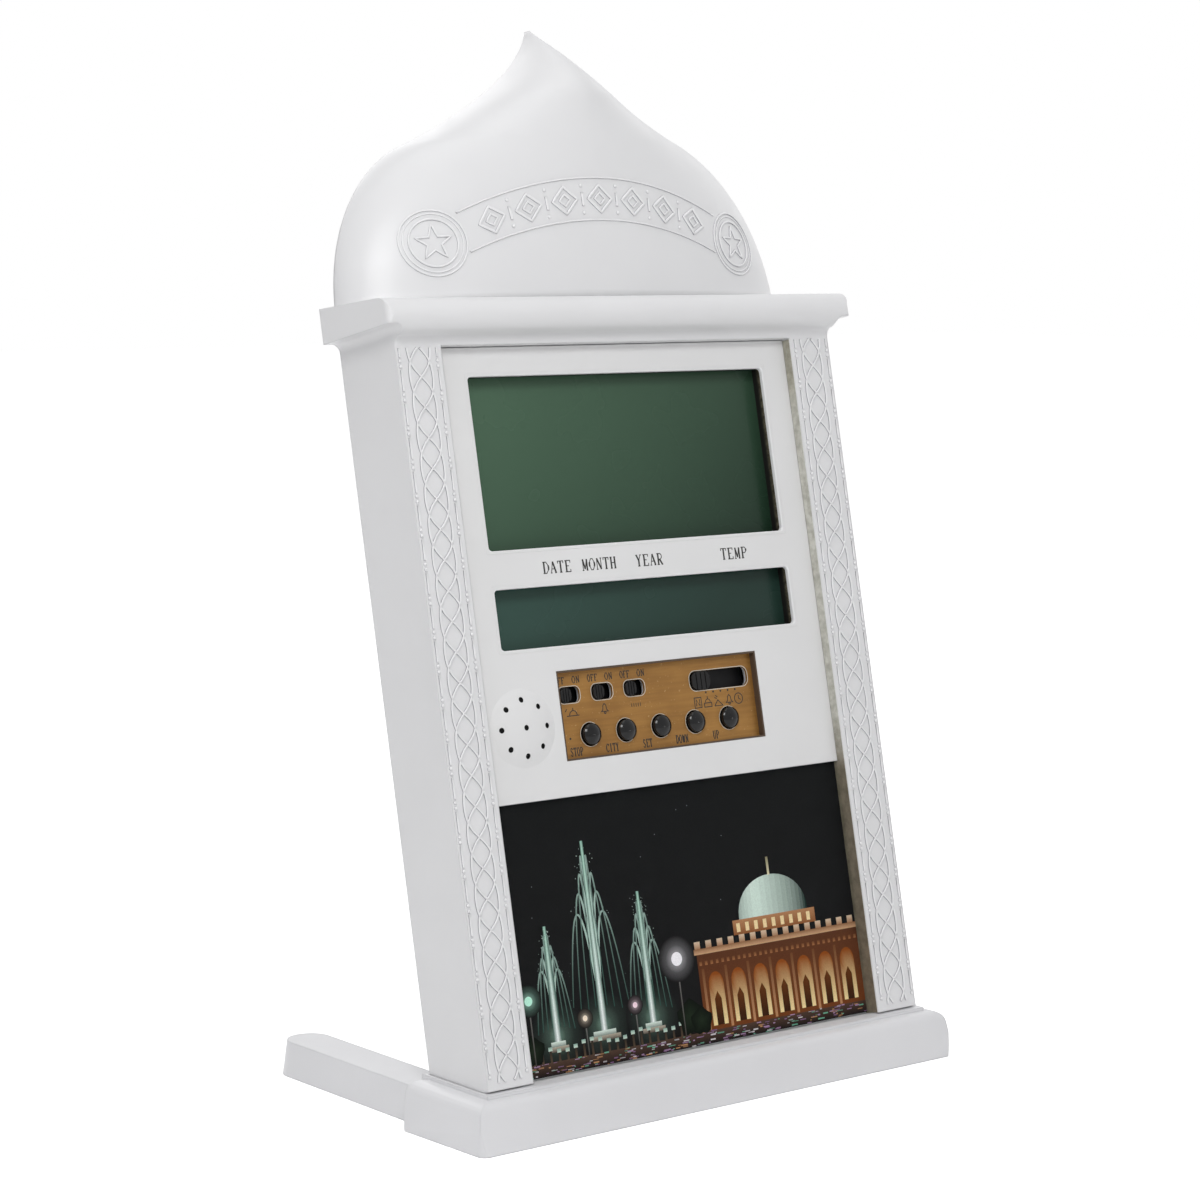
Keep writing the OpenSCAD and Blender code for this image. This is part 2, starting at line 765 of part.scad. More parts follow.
// Rubber contact strips between the glasses and the board
module contact_strips() {
    color("dimgray") for (top = [main_display_top, small_display_top])
        span([-display_w / 2 + 4, display_y + glass_t, top - 1.5],
            [display_w / 2 - 4, board_y, top + 0.5]);
}

module main_board() {
    color("darkgreen") difference() {
        span([-display_w / 2 - 6, board_y, small_display_bottom - 6.4],
            [display_w / 2 + 6, board_y + board_t, main_display_top + 7]);
        for (p = board_posts) into(p[0], board_y - 1, p[1], 1.1, board_t + 2);
    }
}

// Parts soldered to the back of the main board
module board_parts() {
    back = board_y + board_t;
    mid = (main_display_top + main_display_bottom) / 2;
    color("dimgray") {
        span([-8, back, mid - 8], [8, back + 1.6, mid + 8]);
        span([22, back, mid - 4], [30, back + 1.4, mid + 4]);
        for (i = [0:2]) into(-40 + i * 9, back, mid + 14, 3, 6);
        into(16, back, mid + 15, 1.5, 5);
    }
}

module board_screws() {
    color("silver") for (p = concat(board_posts, control_posts)) {
        into(p[0], board_y + board_t, p[1], 1.9, 1.2);
        into(p[0], board_y - 3.2, p[1], 0.78, 3.2 + board_t + bit);
    }
}

// Printed metal plate behind the control opening
module control_plate() {
    color("darkgoldenrod") difference() {
        control_opening(front_floor, front_floor + plate_t, plate_lap);
        control_holes(0, inside_front + 1, 0);
    }
}

module control_board() {
    color("darkgreen") difference() {
        span([control_x - control_w / 2 + 1.5, board_y, control_bottom - 2],
            [control_x + control_w / 2 + 1.5, board_y + board_t, control_top - 0.4]);
        for (p = control_posts) into(p[0], board_y - 1, p[1], 1.1, board_t + 2);
    }
}

// Snap switches behind the push buttons
module tact_switches() {
    face = inside_front + gap + button_flange_t + button_travel + 0.1;
    color("black") for (i = [-2:2]) {
        span([i * button_pitch - 3, face + 1, button_z - 3], [i * button_pitch + 3, board_y, button_z + 3]);
        into(i * button_pitch, face, button_z, 1.7, 1 + bit);
    }
}

// Domed push button with a flange behind the wall
module push_button(i) {
    edge_y = front_floor - 1.2;
    crown = 1.1;
    crown_r = (button_r * button_r + crown * crown) / (2 * crown);
    color("black") translate([i * button_pitch, 0, button_z]) {
        into(0, edge_y, 0, button_r, inside_front + gap - edge_y + bit);
        intersection() {
            translate([0, edge_y - crown + crown_r, 0]) sphere(crown_r);
            into(0, edge_y - crown - 1, 0, button_r, crown + 1 + bit);
        }
        into(0, inside_front + gap, 0, button_flange_r, button_flange_t);
    }
}

module stop_button() {
    push_button(-2);
}

module city_button() {
    push_button(-1);
}

module set_button() {
    push_button(0);
}

module down_button() {
    push_button(1);
}

module up_button() {
    push_button(2);
}

// Sliding knob at the left end of its slot, with a shield behind the wall
module slide_knob(x, slot_w, slot_h, slot_r, knob_w, clear) {
    left = x - slot_w / 2 + clear;
    face = front_floor - knob_proud;
    back = inside_front + gap;
    color("black") difference() {
        union() {
            face_plate(left + knob_w / 2, face, switch_z, knob_w, slot_h - 2 * gap, slot_r - clear,
                back + bit - face);
            span([left - 1.4, back, switch_z - slot_h / 2 - shield_lap],
                [left + knob_w + 1.4, back + shield_t, switch_z + slot_h / 2 + shield_lap]);
        }
        // finger grooves
        for (k = [1:3]) span([left + knob_w * k / 4 - 0.15, face - 1, switch_z - slot_h],
            [left + knob_w * k / 4 + 0.15, face + 0.3, switch_z + slot_h]);
    }
}

module left_switch_knob() {
    slide_knob(switch_x - switch_pitch, switch_slot_w, switch_slot_h, switch_slot_r,
        switch_knob_w, fit);
}

module middle_switch_knob() {
    slide_knob(switch_x, switch_slot_w, switch_slot_h, switch_slot_r,
        switch_knob_w, fit);
}

module right_switch_knob() {
    slide_knob(switch_x + switch_pitch, switch_slot_w, switch_slot_h, switch_slot_r,
        switch_knob_w, fit);
}

module mode_switch_knob() {
    slide_knob(mode_x, mode_slot_w, mode_slot_h, mode_slot_r, mode_knob_w, gap);
}

module switch_bodies() {
    color("dimgray") for (i = [-1:1]) {
        x = switch_x + i * switch_pitch;
        span([x - 4.6, switch_body_y, switch_z - 2.9], [x + 4.6, board_y, switch_z + 2.9]);
    }
}

module mode_switch_body() {
    color("dimgray") span([mode_x - mode_slot_w / 2 - 1, switch_body_y, switch_z - 3.2],
        [mode_x + mode_slot_w / 2 + 1, board_y, switch_z + 3.2]);
}

// Small speaker: rim, cone and magnet turned about one axis
module speaker() {
    front = inside_front + gap;
    color("dimgray") translate([speaker_x, front, speaker_z]) rotate([-90, 0, 0])
        rotate_extrude() polygon([[0, 2.2], [3, 2.2], [speaker_r - 2.5, 0.6], [speaker_r - 2, 0],
            [speaker_r, 0], [speaker_r, 1.6], [speaker_r - 2, 3], [8.5, 4.4], [8.5, 5.2],
            [6.5, 5.2], [6.5, 8], [0, 8]]);
}

module picture_card() {
    color("midnightblue") span([-recess_half + fit, card_y, case_foot + 0.4],
        [recess_half - fit, front_floor, picture_top - 0.1]);
}

module picture_cover() {
    color("lightsteelblue", 0.5) span([-recess_half + fit, cover_y, case_foot + 0.4],
        [recess_half - fit, card_y, picture_top - 0.1]);
}

// Battery door with two hooks at its foot and a thumb catch at its top
module battery_door() {
    lip = bay_x + door_lap;
    color("whitesmoke") difference() {
        union() {
            span([-lip, door_y, bay_z - door_lap], [lip, case_d, bay_top + door_lap]);
            for (s = [-1, 1]) {
                translate([s * bay_x * 0.6 - 3, door_hinge_y, door_hinge_z])
                    rotate([0, 90, 0]) cylinder(r = door_hinge_r, h = 6);
                span([s * bay_x * 0.6 - 3, door_hinge_y - door_hinge_r, door_hinge_z],
                    [s * bay_x * 0.6 + 3, door_hinge_y + door_hinge_r, bay_z - door_lap + bit]);
            }
        }
        // thumb grooves
        for (k = [0:4]) let (z = bay_top - 3 - 1.8 * k) span([-9, case_d - 0.5, z], [9, case_d + 1, z + 0.8]);
    }
}

// Two cells, one above the other, facing opposite ways
module battery_cells() {
    color("seagreen") for (i = [0, 1]) {
        z = bay_z + 0.1 + cell_pitch * (i + 0.5);
        s = i == 0 ? 1 : -1;
        translate([-s * cell_l / 2, cell_y, z]) rotate([0, s * 90, 0]) union() {
            cylinder(r = cell_r, h = cell_l - 1);
            cylinder(r = 2.7, h = cell_l);
        }
    }
}

// Cone springs at the flat ends of the cells, each a stack of touching turns
module cell_springs() {
    wire = 0.4;
    plate_t = 0.6;
    turns = 4;
    color("silver") for (i = [0, 1]) {
        z = bay_z + 0.1 + cell_pitch * (i + 0.5);
        s = i == 0 ? -1 : 1;
        translate([s * (bay_x - bit), cell_y, z]) rotate([0, -s * 90, 0]) union() {
            for (k = [0:turns - 1]) translate([0, 0, plate_t + wire - 0.05 + k * 0.62]) rotate_extrude()
                translate([4.4 - k * 0.45, 0]) circle(wire, $fn = 16);
            cylinder(r = 5.2, h = plate_t);
        }
    }
}

// Flat contacts at the button ends of the cells
module cell_contacts() {
    color("silver") for (i = [0, 1]) {
        z = bay_z + 0.1 + cell_pitch * (i + 0.5);
        s = i == 0 ? 1 : -1;
        translate([s * (bay_x - 0.02 - 1.5), cell_y - 5, z - 5]) mirror([s < 0 ? 1 : 0, 0, 0])
            span([0.9, 0, 0], [1.5, 10, 10]);
        translate([s * (cell_l / 2 + 0.05), cell_y, z]) rotate([0, s * 90, 0])
            cylinder(r = 3, h = bay_x - cell_l / 2 - 0.6);
    }
}

stand_plinth();
stand_leg_left();
stand_leg_right();
stand_screws();
lean_back() front_case();
lean_back() dome_front();
lean_back() rear_cover();
lean_back() case_screws();
lean_back() fascia_panel();
lean_back() main_gasket();
lean_back() small_gasket();
lean_back() control_gasket();
lean_back() main_display();
lean_back() small_display();
lean_back() main_display_holder();
lean_back() small_display_holder();
lean_back() contact_strips();
lean_back() main_board();
lean_back() board_parts();
lean_back() board_screws();
lean_back() control_plate();
lean_back() control_board();
lean_back() tact_switches();
lean_back() stop_button();
lean_back() city_button();
lean_back() set_button();
lean_back() down_button();
lean_back() up_button();
lean_back() left_switch_knob();
lean_back() middle_switch_knob();
lean_back() right_switch_knob();
lean_back() mode_switch_knob();
lean_back() switch_bodies();
lean_back() mode_switch_body();
lean_back() speaker();
lean_back() picture_card();
lean_back() picture_cover();
lean_back() battery_door();
lean_back() battery_cells();
lean_back() cell_springs();
lean_back() cell_contacts();
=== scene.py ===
import math
import random

import bpy
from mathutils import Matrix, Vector

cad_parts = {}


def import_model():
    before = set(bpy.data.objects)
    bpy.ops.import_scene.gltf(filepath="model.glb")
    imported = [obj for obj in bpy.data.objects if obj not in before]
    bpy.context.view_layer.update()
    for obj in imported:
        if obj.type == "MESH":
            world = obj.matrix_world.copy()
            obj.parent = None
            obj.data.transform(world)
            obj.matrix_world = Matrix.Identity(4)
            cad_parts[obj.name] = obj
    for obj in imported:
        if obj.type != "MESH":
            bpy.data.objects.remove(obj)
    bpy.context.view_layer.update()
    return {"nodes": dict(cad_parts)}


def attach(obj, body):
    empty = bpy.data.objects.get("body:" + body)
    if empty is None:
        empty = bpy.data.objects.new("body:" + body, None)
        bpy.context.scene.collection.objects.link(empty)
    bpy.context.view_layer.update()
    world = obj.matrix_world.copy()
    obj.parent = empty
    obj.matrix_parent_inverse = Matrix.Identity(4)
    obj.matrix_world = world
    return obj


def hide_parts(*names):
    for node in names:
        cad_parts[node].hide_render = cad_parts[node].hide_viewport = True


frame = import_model()
NODES = frame["nodes"]

# -------- case frame
# Millimetres: x across, y into the case from its face, z up the face.
SIDES = {-1: "left", 1: "right"}
LEAN = math.radians(11.8)
COS, SIN = math.cos(LEAN), math.sin(LEAN)
CASE_D = 25.2
CASE_FOOT = 14.6
CORNICE_TOP = 218.4
RECESS_TOP = 206.1
RECESS_HALF = 60.5
RECESS_D = 3.0  # depth of the fascia's face
FRONT_FLOOR = 5.0  # depth of the control plate's face and of the picture card's back
PICTURE_TOP = 85.9
BUTTON_Z, BUTTON_PITCH = 101.6, 12.1
SWITCH_Z, SWITCH_X, SWITCH_PITCH = 112.6, -18.5, 11.1  # the row of three two-position switches
MODE_SWITCH_X = 22.4
SIGN_Z = 106.6  # the five signs under the mode switch
SWITCH_SIGN_Z = SWITCH_Z - 4.6
GRILLE_R, GRILLE_RISE = 10.4, 1.8
SPEAKER_X, SPEAKER_Z = -47.6, 105.2
DISPLAY_HALF = 51.4
MAIN_TOP, MAIN_H = 198.4, 46.7
SMALL_TOP, SMALL_H = 142.0, 16.6
CELL_MID_Z = 0.0463  # metres above the floor, between the two cells


def world(x, y, z):
    """A point of the upright case frame, leaned back, in metres."""
    return Vector((x, y * COS + z * SIN, z * COS - y * SIN)) * 0.001


def lin(r, g, b):
    """Linear colour from 8-bit sRGB numbers."""
    def one(c):
        c /= 255.0
        return c / 12.92 if c <= 0.04045 else ((c + 0.055) / 1.055) ** 2.4
    return (one(r), one(g), one(b), 1.0)


def polar(cx, cz, r, t):
    """Point at the angle t of a circle."""
    return (cx + r * math.cos(t), cz + r * math.sin(t))


def blend(a, b, f):
    """Point or colour at the share f of the way from a to b."""
    return tuple(p + (q - p) * f for p, q in zip(a, b))


def rounded(x0, x1, z0, z1, r):
    """Closed row of points round a rectangle with rounded corners."""
    pts = []
    for cx, cz, start in ((x1 - r, z1 - r, 0), (x0 + r, z1 - r, 90), (x0 + r, z0 + r, 180), (x1 - r, z0 + r, 270)):
        pts += [polar(cx, cz, r, math.radians(start + 15 * i)) for i in range(7)]
    return pts


# -------- camera
cam_data = bpy.data.cameras.new("photo_camera")
cam_data.lens = 93.63
cam_data.sensor_width = 36.0
cam_data.clip_start = 0.01
cam = bpy.data.objects.new("photo_camera", cam_data)
cam.location = (-0.5318, -0.61913, 0.22477)
cam.rotation_euler = (math.radians(83.71), 0.0, math.radians(-38.39))
bpy.context.scene.collection.objects.link(cam)
bpy.context.scene.camera = cam


# -------- mesh building
class Shape:
    """Vertices in metres, faces, and one colour and material number per face."""

    def __init__(self):
        self.verts = []
        self.faces = []
        self.tints = []
        self.mats = []

    def add(self, verts, faces, tint=None, mat=0):
        base = len(self.verts)
        self.verts += [tuple(v) for v in verts]
        for k, f in enumerate(faces):
            self.faces.append([base + i for i in f])
            self.tints.append(tint)
            self.mats.append(mat if isinstance(mat, int) else mat[k])

    def build(self, name, materials, body="case", smooth=True, replaces=()):
        mesh = bpy.data.meshes.new(name)
        mesh.from_pydata(self.verts, [], self.faces)
        mesh.validate()
        for m in materials:
            mesh.materials.append(m)
        mesh.polygons.foreach_set("material_index", self.mats)
        mesh.polygons.foreach_set("use_smooth", [smooth] * len(self.faces))
        if any(t is not None for t in self.tints):
            layer = mesh.color_attributes.new("Paint", "FLOAT_COLOR", "CORNER")
            values = []
            for f, t in zip(self.faces, self.tints):
                t = t or (0.0, 0.0, 0.0, 1.0)
                for i in range(len(f)):
                    values += t[i] if isinstance(t[0], tuple) else t
            layer.data.foreach_set("color", values)
        mesh.update()
        obj = bpy.data.objects.new(name, mesh)
        bpy.context.scene.collection.objects.link(obj)
        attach(obj, body)
        if replaces:
            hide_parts(*replaces)


def rib(shape, pts, normals, half_w, height, sink=0.15, closed=False):
    """Rounded raised line along points of the case frame, sunk a little into what carries it; the flanks at its foot
    and its ends take the second material, a painted shade.
    """
    section = [(-1.0, -sink), (-0.94, 0.62 * height), (-0.55, 0.97 * height), (0.55, 0.97 * height),
               (0.94, 0.62 * height), (1.0, -sink)]
    n = len(pts)
    rings = []
    for i in range(n):
        p = Vector(pts[i])
        a = Vector(pts[(i - 1) % n if closed else max(i - 1, 0)])
        b = Vector(pts[(i + 1) % n if closed else min(i + 1, n - 1)])
        along = (b - a).normalized()
        nrm = Vector(normals[i]).normalized()
        side = along.cross(nrm).normalized()
        rings.append([world(*(p + side * (s * half_w) + nrm * h)) for s, h in section])
    m = len(section)
    verts = [v for ring in rings for v in ring]
    faces, mats = [], []
    for i in range(n if closed else n - 1):
        j = (i + 1) % n
        for k in range(m):
            l = (k + 1) % m
            faces.append((i * m + k, j * m + k, j * m + l, i * m + l))
            # painted shade: the two flanks at the foot are darker
            mats.append(1 if k in (0, 4) else 0)
    if not closed:
        faces += [tuple(reversed(range(m))), tuple((n - 1) * m + k for k in range(m))]
        mats += [1, 1]
    shape.add(verts, faces, None, mats)


def bead(shape, p, normal, r, height, steps=10):
    """Small raised bead, domed, on a surface of the case frame; the ring at its foot takes the second material, a
    painted shade.
    """
    nrm = Vector(normal).normalized()
    u = nrm.cross(Vector((0, 0, 1))).normalized()
    w = nrm.cross(u)
    c = Vector(p)
    levels = [(1.0, -0.15), (0.95, 0.35 * height), (0.6, 0.85 * height)]
    verts = []
    for s, h in levels:
        for k in range(steps):
            t = 2 * math.pi * k / steps
            verts.append(world(*(c + (u * math.cos(t) + w * math.sin(t)) * (r * s) + nrm * h)))
    verts.append(world(*(c + nrm * height)))
    faces = [tuple(range(steps))]
    for j in range(2):
        for k in range(steps):
            l = (k + 1) % steps
            faces.append((j * steps + l, j * steps + k, (j + 1) * steps + k, (j + 1) * steps + l))
    top = 3 * steps
    for k in range(steps):
        faces.append((2 * steps + (k + 1) % steps, 2 * steps + k, top))
    # painted shade: the ring at the foot is darker
    shape.add(verts, faces, None, [0] + [1] * steps + [0] * (2 * steps))


def bridge(a, b, n):
    """Quads between the rings a and b of n points each."""
    return [(a * n + k, a * n + (k + 1) % n, b * n + (k + 1) % n, b * n + k) for k in range(n)]


UNDER, OVER = 0.02, 0.03  # how far a print reaches below its surface and above it


def ink(shape, pts, y, width, thick=OVER, closed=False):
    """Printed line in the face plane: a thin flat ribbon with mitred corners."""
    n = len(pts)
    left, right = [], []
    for i in range(n):
        p = Vector(pts[i])
        if closed or 0 < i < n - 1:
            a, b = Vector(pts[(i - 1) % n]), Vector(pts[(i + 1) % n])
            d1, d2 = (p - a).normalized(), (b - p).normalized()
        elif i == 0:
            d1 = d2 = (Vector(pts[1]) - p).normalized()
        else:
            d1 = d2 = (p - Vector(pts[i - 1])).normalized()
        n1, n2 = Vector((-d1.y, d1.x)), Vector((-d2.y, d2.x))
        mid = n1 + n2
        mid = n1 if mid.length < 1e-6 else mid.normalized()
        reach = width / 2 / max(0.45, mid.dot(n1))
        left.append(p + mid * reach)
        right.append(p - mid * reach)
    verts = []
    for i in range(n):
        for q, depth in ((left[i], -thick), (right[i], -thick), (right[i], UNDER), (left[i], UNDER)):
            verts.append(world(q.x, y + depth, q.y))
    faces = []
    for i in range(n if closed else n - 1):
        faces += bridge(i, (i + 1) % n, 4)
    if not closed:
        faces += [(3, 2, 1, 0), tuple((n - 1) * 4 + k for k in range(4))]
    shape.add(verts, faces)


def blot(shape, cx, cz, r, y):
    """Printed round dot."""
    steps, verts = 14, []
    for depth in (-OVER, UNDER):
        for k in range(steps):
            px, pz = polar(cx, cz, r, 2 * math.pi * k / steps)
            verts.append(world(px, y + depth, pz))
    faces = [tuple(range(steps)), tuple(reversed(range(steps, 2 * steps)))]
    for k in range(steps):
        l = (k + 1) % steps
        faces.append((k, k + steps, l + steps, l))
    shape.add(verts, faces)


# -------- materials
class Mat:
    """A node material with a Principled shader and a few short-hands."""

    def __init__(self, name):
        self.mat = bpy.data.materials.new(name)
        self.mat.use_nodes = True
        self.tree = self.mat.node_tree
        self.tree.nodes.clear()
        self.out = self.tree.nodes.new("ShaderNodeOutputMaterial")
        self.shader = self.tree.nodes.new("ShaderNodeBsdfPrincipled")
        self.link(self.shader.outputs[0], self.out.inputs[0])
        self.coord = self.tree.nodes.new("ShaderNodeTexCoord")

    def link(self, a, b):
        self.tree.links.new(a, b)

    def node(self, kind, **props):
        n = self.tree.nodes.new(kind)
        for k, v in props.items():
            setattr(n, k, v)
        return n

    def feed(self, sock, value):
        """Sets a number or a colour on a socket, or links an output to it."""
        if isinstance(value, (int, float, tuple)):
            sock.default_value = value
        else:
            self.link(value, sock)

    def set(self, name, value):
        self.feed(self.shader.inputs[name], value)

    def place(self):
        """X, Y and Z of the object's own coordinates."""
        sep = self.node("ShaderNodeSeparateXYZ")
        self.link(self.coord.outputs["Object"], sep.inputs[0])
        return sep.outputs

    def calc(self, operation, *values):
        m = self.node("ShaderNodeMath", operation=operation)
        for sock, value in zip(m.inputs, values):
            self.feed(sock, value)
        return m.outputs[0]

    def noise(self, scale, detail=2.0, rough=0.5, stretch=None):
        n = self.node("ShaderNodeTexNoise")
        n.inputs["Scale"].default_value = scale
        n.inputs["Detail"].default_value = detail
        n.inputs["Roughness"].default_value = rough
        source = self.coord.outputs["Object"]
        if stretch:
            m = self.node("ShaderNodeMapping")
            m.inputs["Scale"].default_value = stretch
            self.link(source, m.inputs["Vector"])
            source = m.outputs[0]
        self.link(source, n.inputs["Vector"])
        return n.outputs["Fac"]

    def ramp(self, fac, stops):
        r = self.node("ShaderNodeValToRGB")
        el = r.color_ramp.elements
        while len(el) < len(stops):
            el.new(0.5)
        for e, (p, c) in zip(el, stops):
            e.position = p
            e.color = c
        self.link(fac, r.inputs[0])
        return r.outputs[0]

    def span(self, value, a, b, c, d):
        """The range a to b of a value, mapped to c to d and held there."""
        m = self.node("ShaderNodeMapRange")
        for i, v in ((1, a), (2, b), (3, c), (4, d)):
            m.inputs[i].default_value = v
        self.link(value, m.inputs[0])
        return m.outputs[0]

    def mix(self, fac, a, b, blend="MIX"):
        m = self.node("ShaderNodeMix", data_type="RGBA", blend_type=blend)
        for sock, v in ((m.inputs["Factor"], fac), (m.inputs[6], a), (m.inputs[7], b)):
            self.feed(sock, v)
        return m.outputs[2]

    def bump(self, height, strength, distance, normal=None):
        b = self.node("ShaderNodeBump")
        b.inputs["Strength"].default_value = strength
        b.inputs["Distance"].default_value = distance
        self.link(height, b.inputs["Height"])
        if normal is not None:
            self.link(normal, b.inputs["Normal"])
        self.link(b.outputs[0], self.shader.inputs["Normal"])

    def soft_edges(self, radius):
        b = self.node("ShaderNodeBevel", samples=6)
        b.inputs["Radius"].default_value = radius
        return b.outputs[0]


def moulded(name, tone, rough=(0.34, 0.44), edge=0.0005, grain=0.10, shine=0.45):
    """Satin injection moulding: faint flow shades, fine grain, softened edges."""
    m = Mat(name)
    cloud = m.noise(28.0, 3.0)
    shade = tuple(c * 0.965 for c in tone[:3]) + (1.0,)
    m.set("Base Color", m.ramp(cloud, [(0.3, shade), (0.7, tone)]))
    m.set("Roughness", m.span(m.noise(160.0), 0.3, 0.7, *rough))
    fine = m.noise(1500.0, 2.0, 0.6)
    m.bump(fine, grain, 0.00006, m.soft_edges(edge) if edge else None)
    m.set("Specular IOR Level", shine)
    return m.mat


WHITE = moulded("white_moulding", lin(226, 226, 227), (0.34, 0.42), 0.0006)
WHITE_STAND = moulded("white_stand", lin(224, 224, 226), (0.30, 0.38), 0.0008)
PANEL = moulded("fascia_sheet", lin(226, 226, 226), (0.38, 0.46), 0.0002, 0.05)
# Lit and shaded copies of the white moulding: the relief is painted lighter as a highlight, and the feet of its lines
# painted darker as shade.
RELIEF_PAINTED_LIGHT = moulded("white_relief_painted_light", lin(236, 236, 237), (0.36, 0.44), 0.0, 0.04)
RELIEF_FOOT_PAINTED_SHADE = moulded("relief_foot_painted_shade", lin(176, 176, 180), (0.5, 0.6), 0.0, 0.04)
BROWN = moulded("brown_gasket", lin(78, 62, 48), (0.55, 0.7), 0.0, 0.3)
IVORY = moulded("ivory_holder", lin(214, 206, 188), (0.5, 0.6), 0.0002)
DARK = moulded("dark_moulding", lin(20, 20, 22), (0.4, 0.55), 0.0002, 0.2, 0.15)
# black of the grille cups: painted shade of the deep holes
GRILLE_PAINTED_SHADE = moulded("grille_painted_shade", lin(13, 13, 13), (0.8, 0.9), 0.0, 0.2)
RUBBER = moulded("contact_rubber", lin(70, 70, 74), (0.75, 0.85), 0.0, 0.35)


def glossy_black():
    """Polished black of the buttons and knobs."""
    m = Mat("glossy_black")
    m.set("Base Color", m.ramp(m.noise(300.0), [(0.35, lin(9, 9, 10)), (0.7, lin(20, 20, 21))]))
    m.set("Roughness", m.span(m.noise(900.0, 3.0), 0.35, 0.75, 0.08, 0.15))
    m.set("Specular IOR Level", 0.28)
    m.bump(m.noise(700.0, 1.0), 0.05, 0.00005, m.soft_edges(0.0002))
    return m.mat


def display_glass(name, light, dark):
    """Unlit display: dark green behind a polariser, with painted light: paler towards the upper left."""
    m = Mat(name)
    x, _, z = m.place()
    # painted light: paler to the left and to the top
    across = m.span(x, -0.052, 0.052, 0.0, 1.0)
    drop = m.span(z, 0.190, 0.118, 0.0, 0.55)
    slope = m.calc("MULTIPLY_ADD", across, 0.6, drop)
    painted_light_and_mottle = m.calc("MULTIPLY_ADD", m.noise(18.0), 0.12, slope)
    m.set("Base Color", m.ramp(painted_light_and_mottle, [(0.1, light), (1.0, dark)]))
    m.set("Roughness", m.span(m.noise(60.0), 0.3, 0.7, 0.22, 0.30))
    m.bump(m.noise(2500.0, 1.0), 0.03, 0.00003)
    m.set("Specular IOR Level", 0.16)
    return m.mat


def gold_plate():
    """Bronze-gold printed plate with fine horizontal brushing and specks."""
    m = Mat("gold_plate")
    tone = m.ramp(m.noise(70.0, 3.0), [(0.3, lin(144, 103, 50)), (0.7, lin(165, 121, 62))])
    brushed = m.noise(900.0, 2.0, 0.6, (0.06, 1.0, 1.0))
    tone = m.mix(m.span(brushed, 0.35, 0.65, 0.0, 0.35), tone, lin(120, 84, 44))
    speck = m.span(m.noise(1500.0, 1.0), 0.70, 0.76, 0.0, 0.45)
    tone = m.mix(speck, tone, lin(196, 160, 108))
    m.set("Base Color", tone)
    m.set("Metallic", 0.3)
    m.set("Specular IOR Level", 0.3)
    m.set("Roughness", m.span(brushed, 0.3, 0.7, 0.36, 0.52))
    m.bump(brushed, 0.15, 0.00004)
    return m.mat


def steel():
    """Zinc-plated steel of screws, springs and contacts."""
    m = Mat("zinc_steel")
    m.set("Base Color", m.ramp(m.noise(400.0, 3.0), [(0.3, lin(150, 152, 156)), (0.75, lin(200, 201, 204))]))
    m.set("Metallic", 1.0)
    m.set("Roughness", m.span(m.noise(700.0), 0.3, 0.7, 0.24, 0.42))
    m.bump(m.noise(1800.0), 0.1, 0.00004)
    return m.mat


def board_green():
    """Circuit board: green lacquer over a net of paler tracks."""
    m = Mat("board_green")
    cells = m.node("ShaderNodeTexVoronoi", feature="DISTANCE_TO_EDGE")
    cells.inputs["Scale"].default_value = 260.0
    m.link(m.coord.outputs["Object"], cells.inputs["Vector"])
    line = m.span(cells.outputs["Distance"], 0.04, 0.07, 0.6, 0.0)
    m.set("Base Color", m.mix(line, lin(18, 74, 44), lin(42, 116, 72)))
    m.set("Roughness", 0.35)
    m.bump(line, 0.2, 0.00005)
    return m.mat


def ink_material(name, tone):
    """Printing ink, a little worn in spots."""
    m = Mat(name)
    worn = tuple(c * 1.6 for c in tone[:3]) + (1.0,)
    m.set("Base Color", m.ramp(m.noise(1800.0), [(0.35, tone), (0.8, worn)]))
    m.set("Roughness", 0.55)
    m.bump(m.noise(2500.0, 1.0), 0.08, 0.00002)
    return m.mat


def printed_paint():
    """Printed picture: its colours come from the faces, with a fine print grain."""
    m = Mat("printed_picture")
    a = m.node("ShaderNodeVertexColor", layer_name="Paint")
    grain = m.span(m.noise(3200.0, 1.0), 0.3, 0.7, 0.9, 1.06)
    comb = m.node("ShaderNodeCombineColor")
    for i in range(3):
        m.link(grain, comb.inputs[i])
    m.set("Base Color", m.mix(1.0, a.outputs["Color"], comb.outputs[0], "MULTIPLY"))
    m.set("Roughness", 0.6)
    m.set("Specular IOR Level", 0.03)
    m.bump(m.noise(2600.0, 1.0), 0.03, 0.00002)
    return m.mat


def liner_strip():
    """Mottled strip, pale beside the fascia and olive beside the picture."""
    m = Mat("liner_strip")
    rise = m.span(m.place()[2], 0.03, 0.19, 0.0, 1.0)
    tone = m.ramp(rise, [(0.0, lin(125, 115, 98)), (0.32, lin(130, 121, 104)), (0.42, lin(200, 199, 190)),
                         (0.93, lin(206, 205, 196)), (1.0, lin(172, 169, 155))])
    mottle = m.span(m.noise(420.0, 4.0, 0.65), 0.35, 0.65, 0.0, 0.6)
    m.set("Base Color", m.mix(mottle, tone, (0.42, 0.41, 0.37, 1.0), "MULTIPLY"))
    m.set("Roughness", 0.7)
    m.bump(m.noise(900.0), 0.3, 0.00006)
    return m.mat


def gasket_rubber():
    """Window gasket: mottled olive near the fascia, with painted shade: near black towards the display."""
    m = Mat("gasket_rubber")
    _, y, z = m.place()
    deep = m.calc("MULTIPLY_ADD", y, COS, m.calc("MULTIPLY", z, -SIN))
    mottle = m.ramp(m.noise(700.0, 3.0), [(0.35, lin(62, 57, 45)), (0.65, lin(112, 106, 88))])
    # painted shade: near black deeper in the window
    shade = m.span(deep, 0.0046, 0.0060, 0.0, 1.0)
    m.set("Base Color", m.mix(shade, mottle, lin(17, 17, 15)))
    m.set("Roughness", 0.7)
    m.set("Specular IOR Level", 0.25)
    m.bump(m.noise(1100.0), 0.3, 0.00006)
    return m.mat


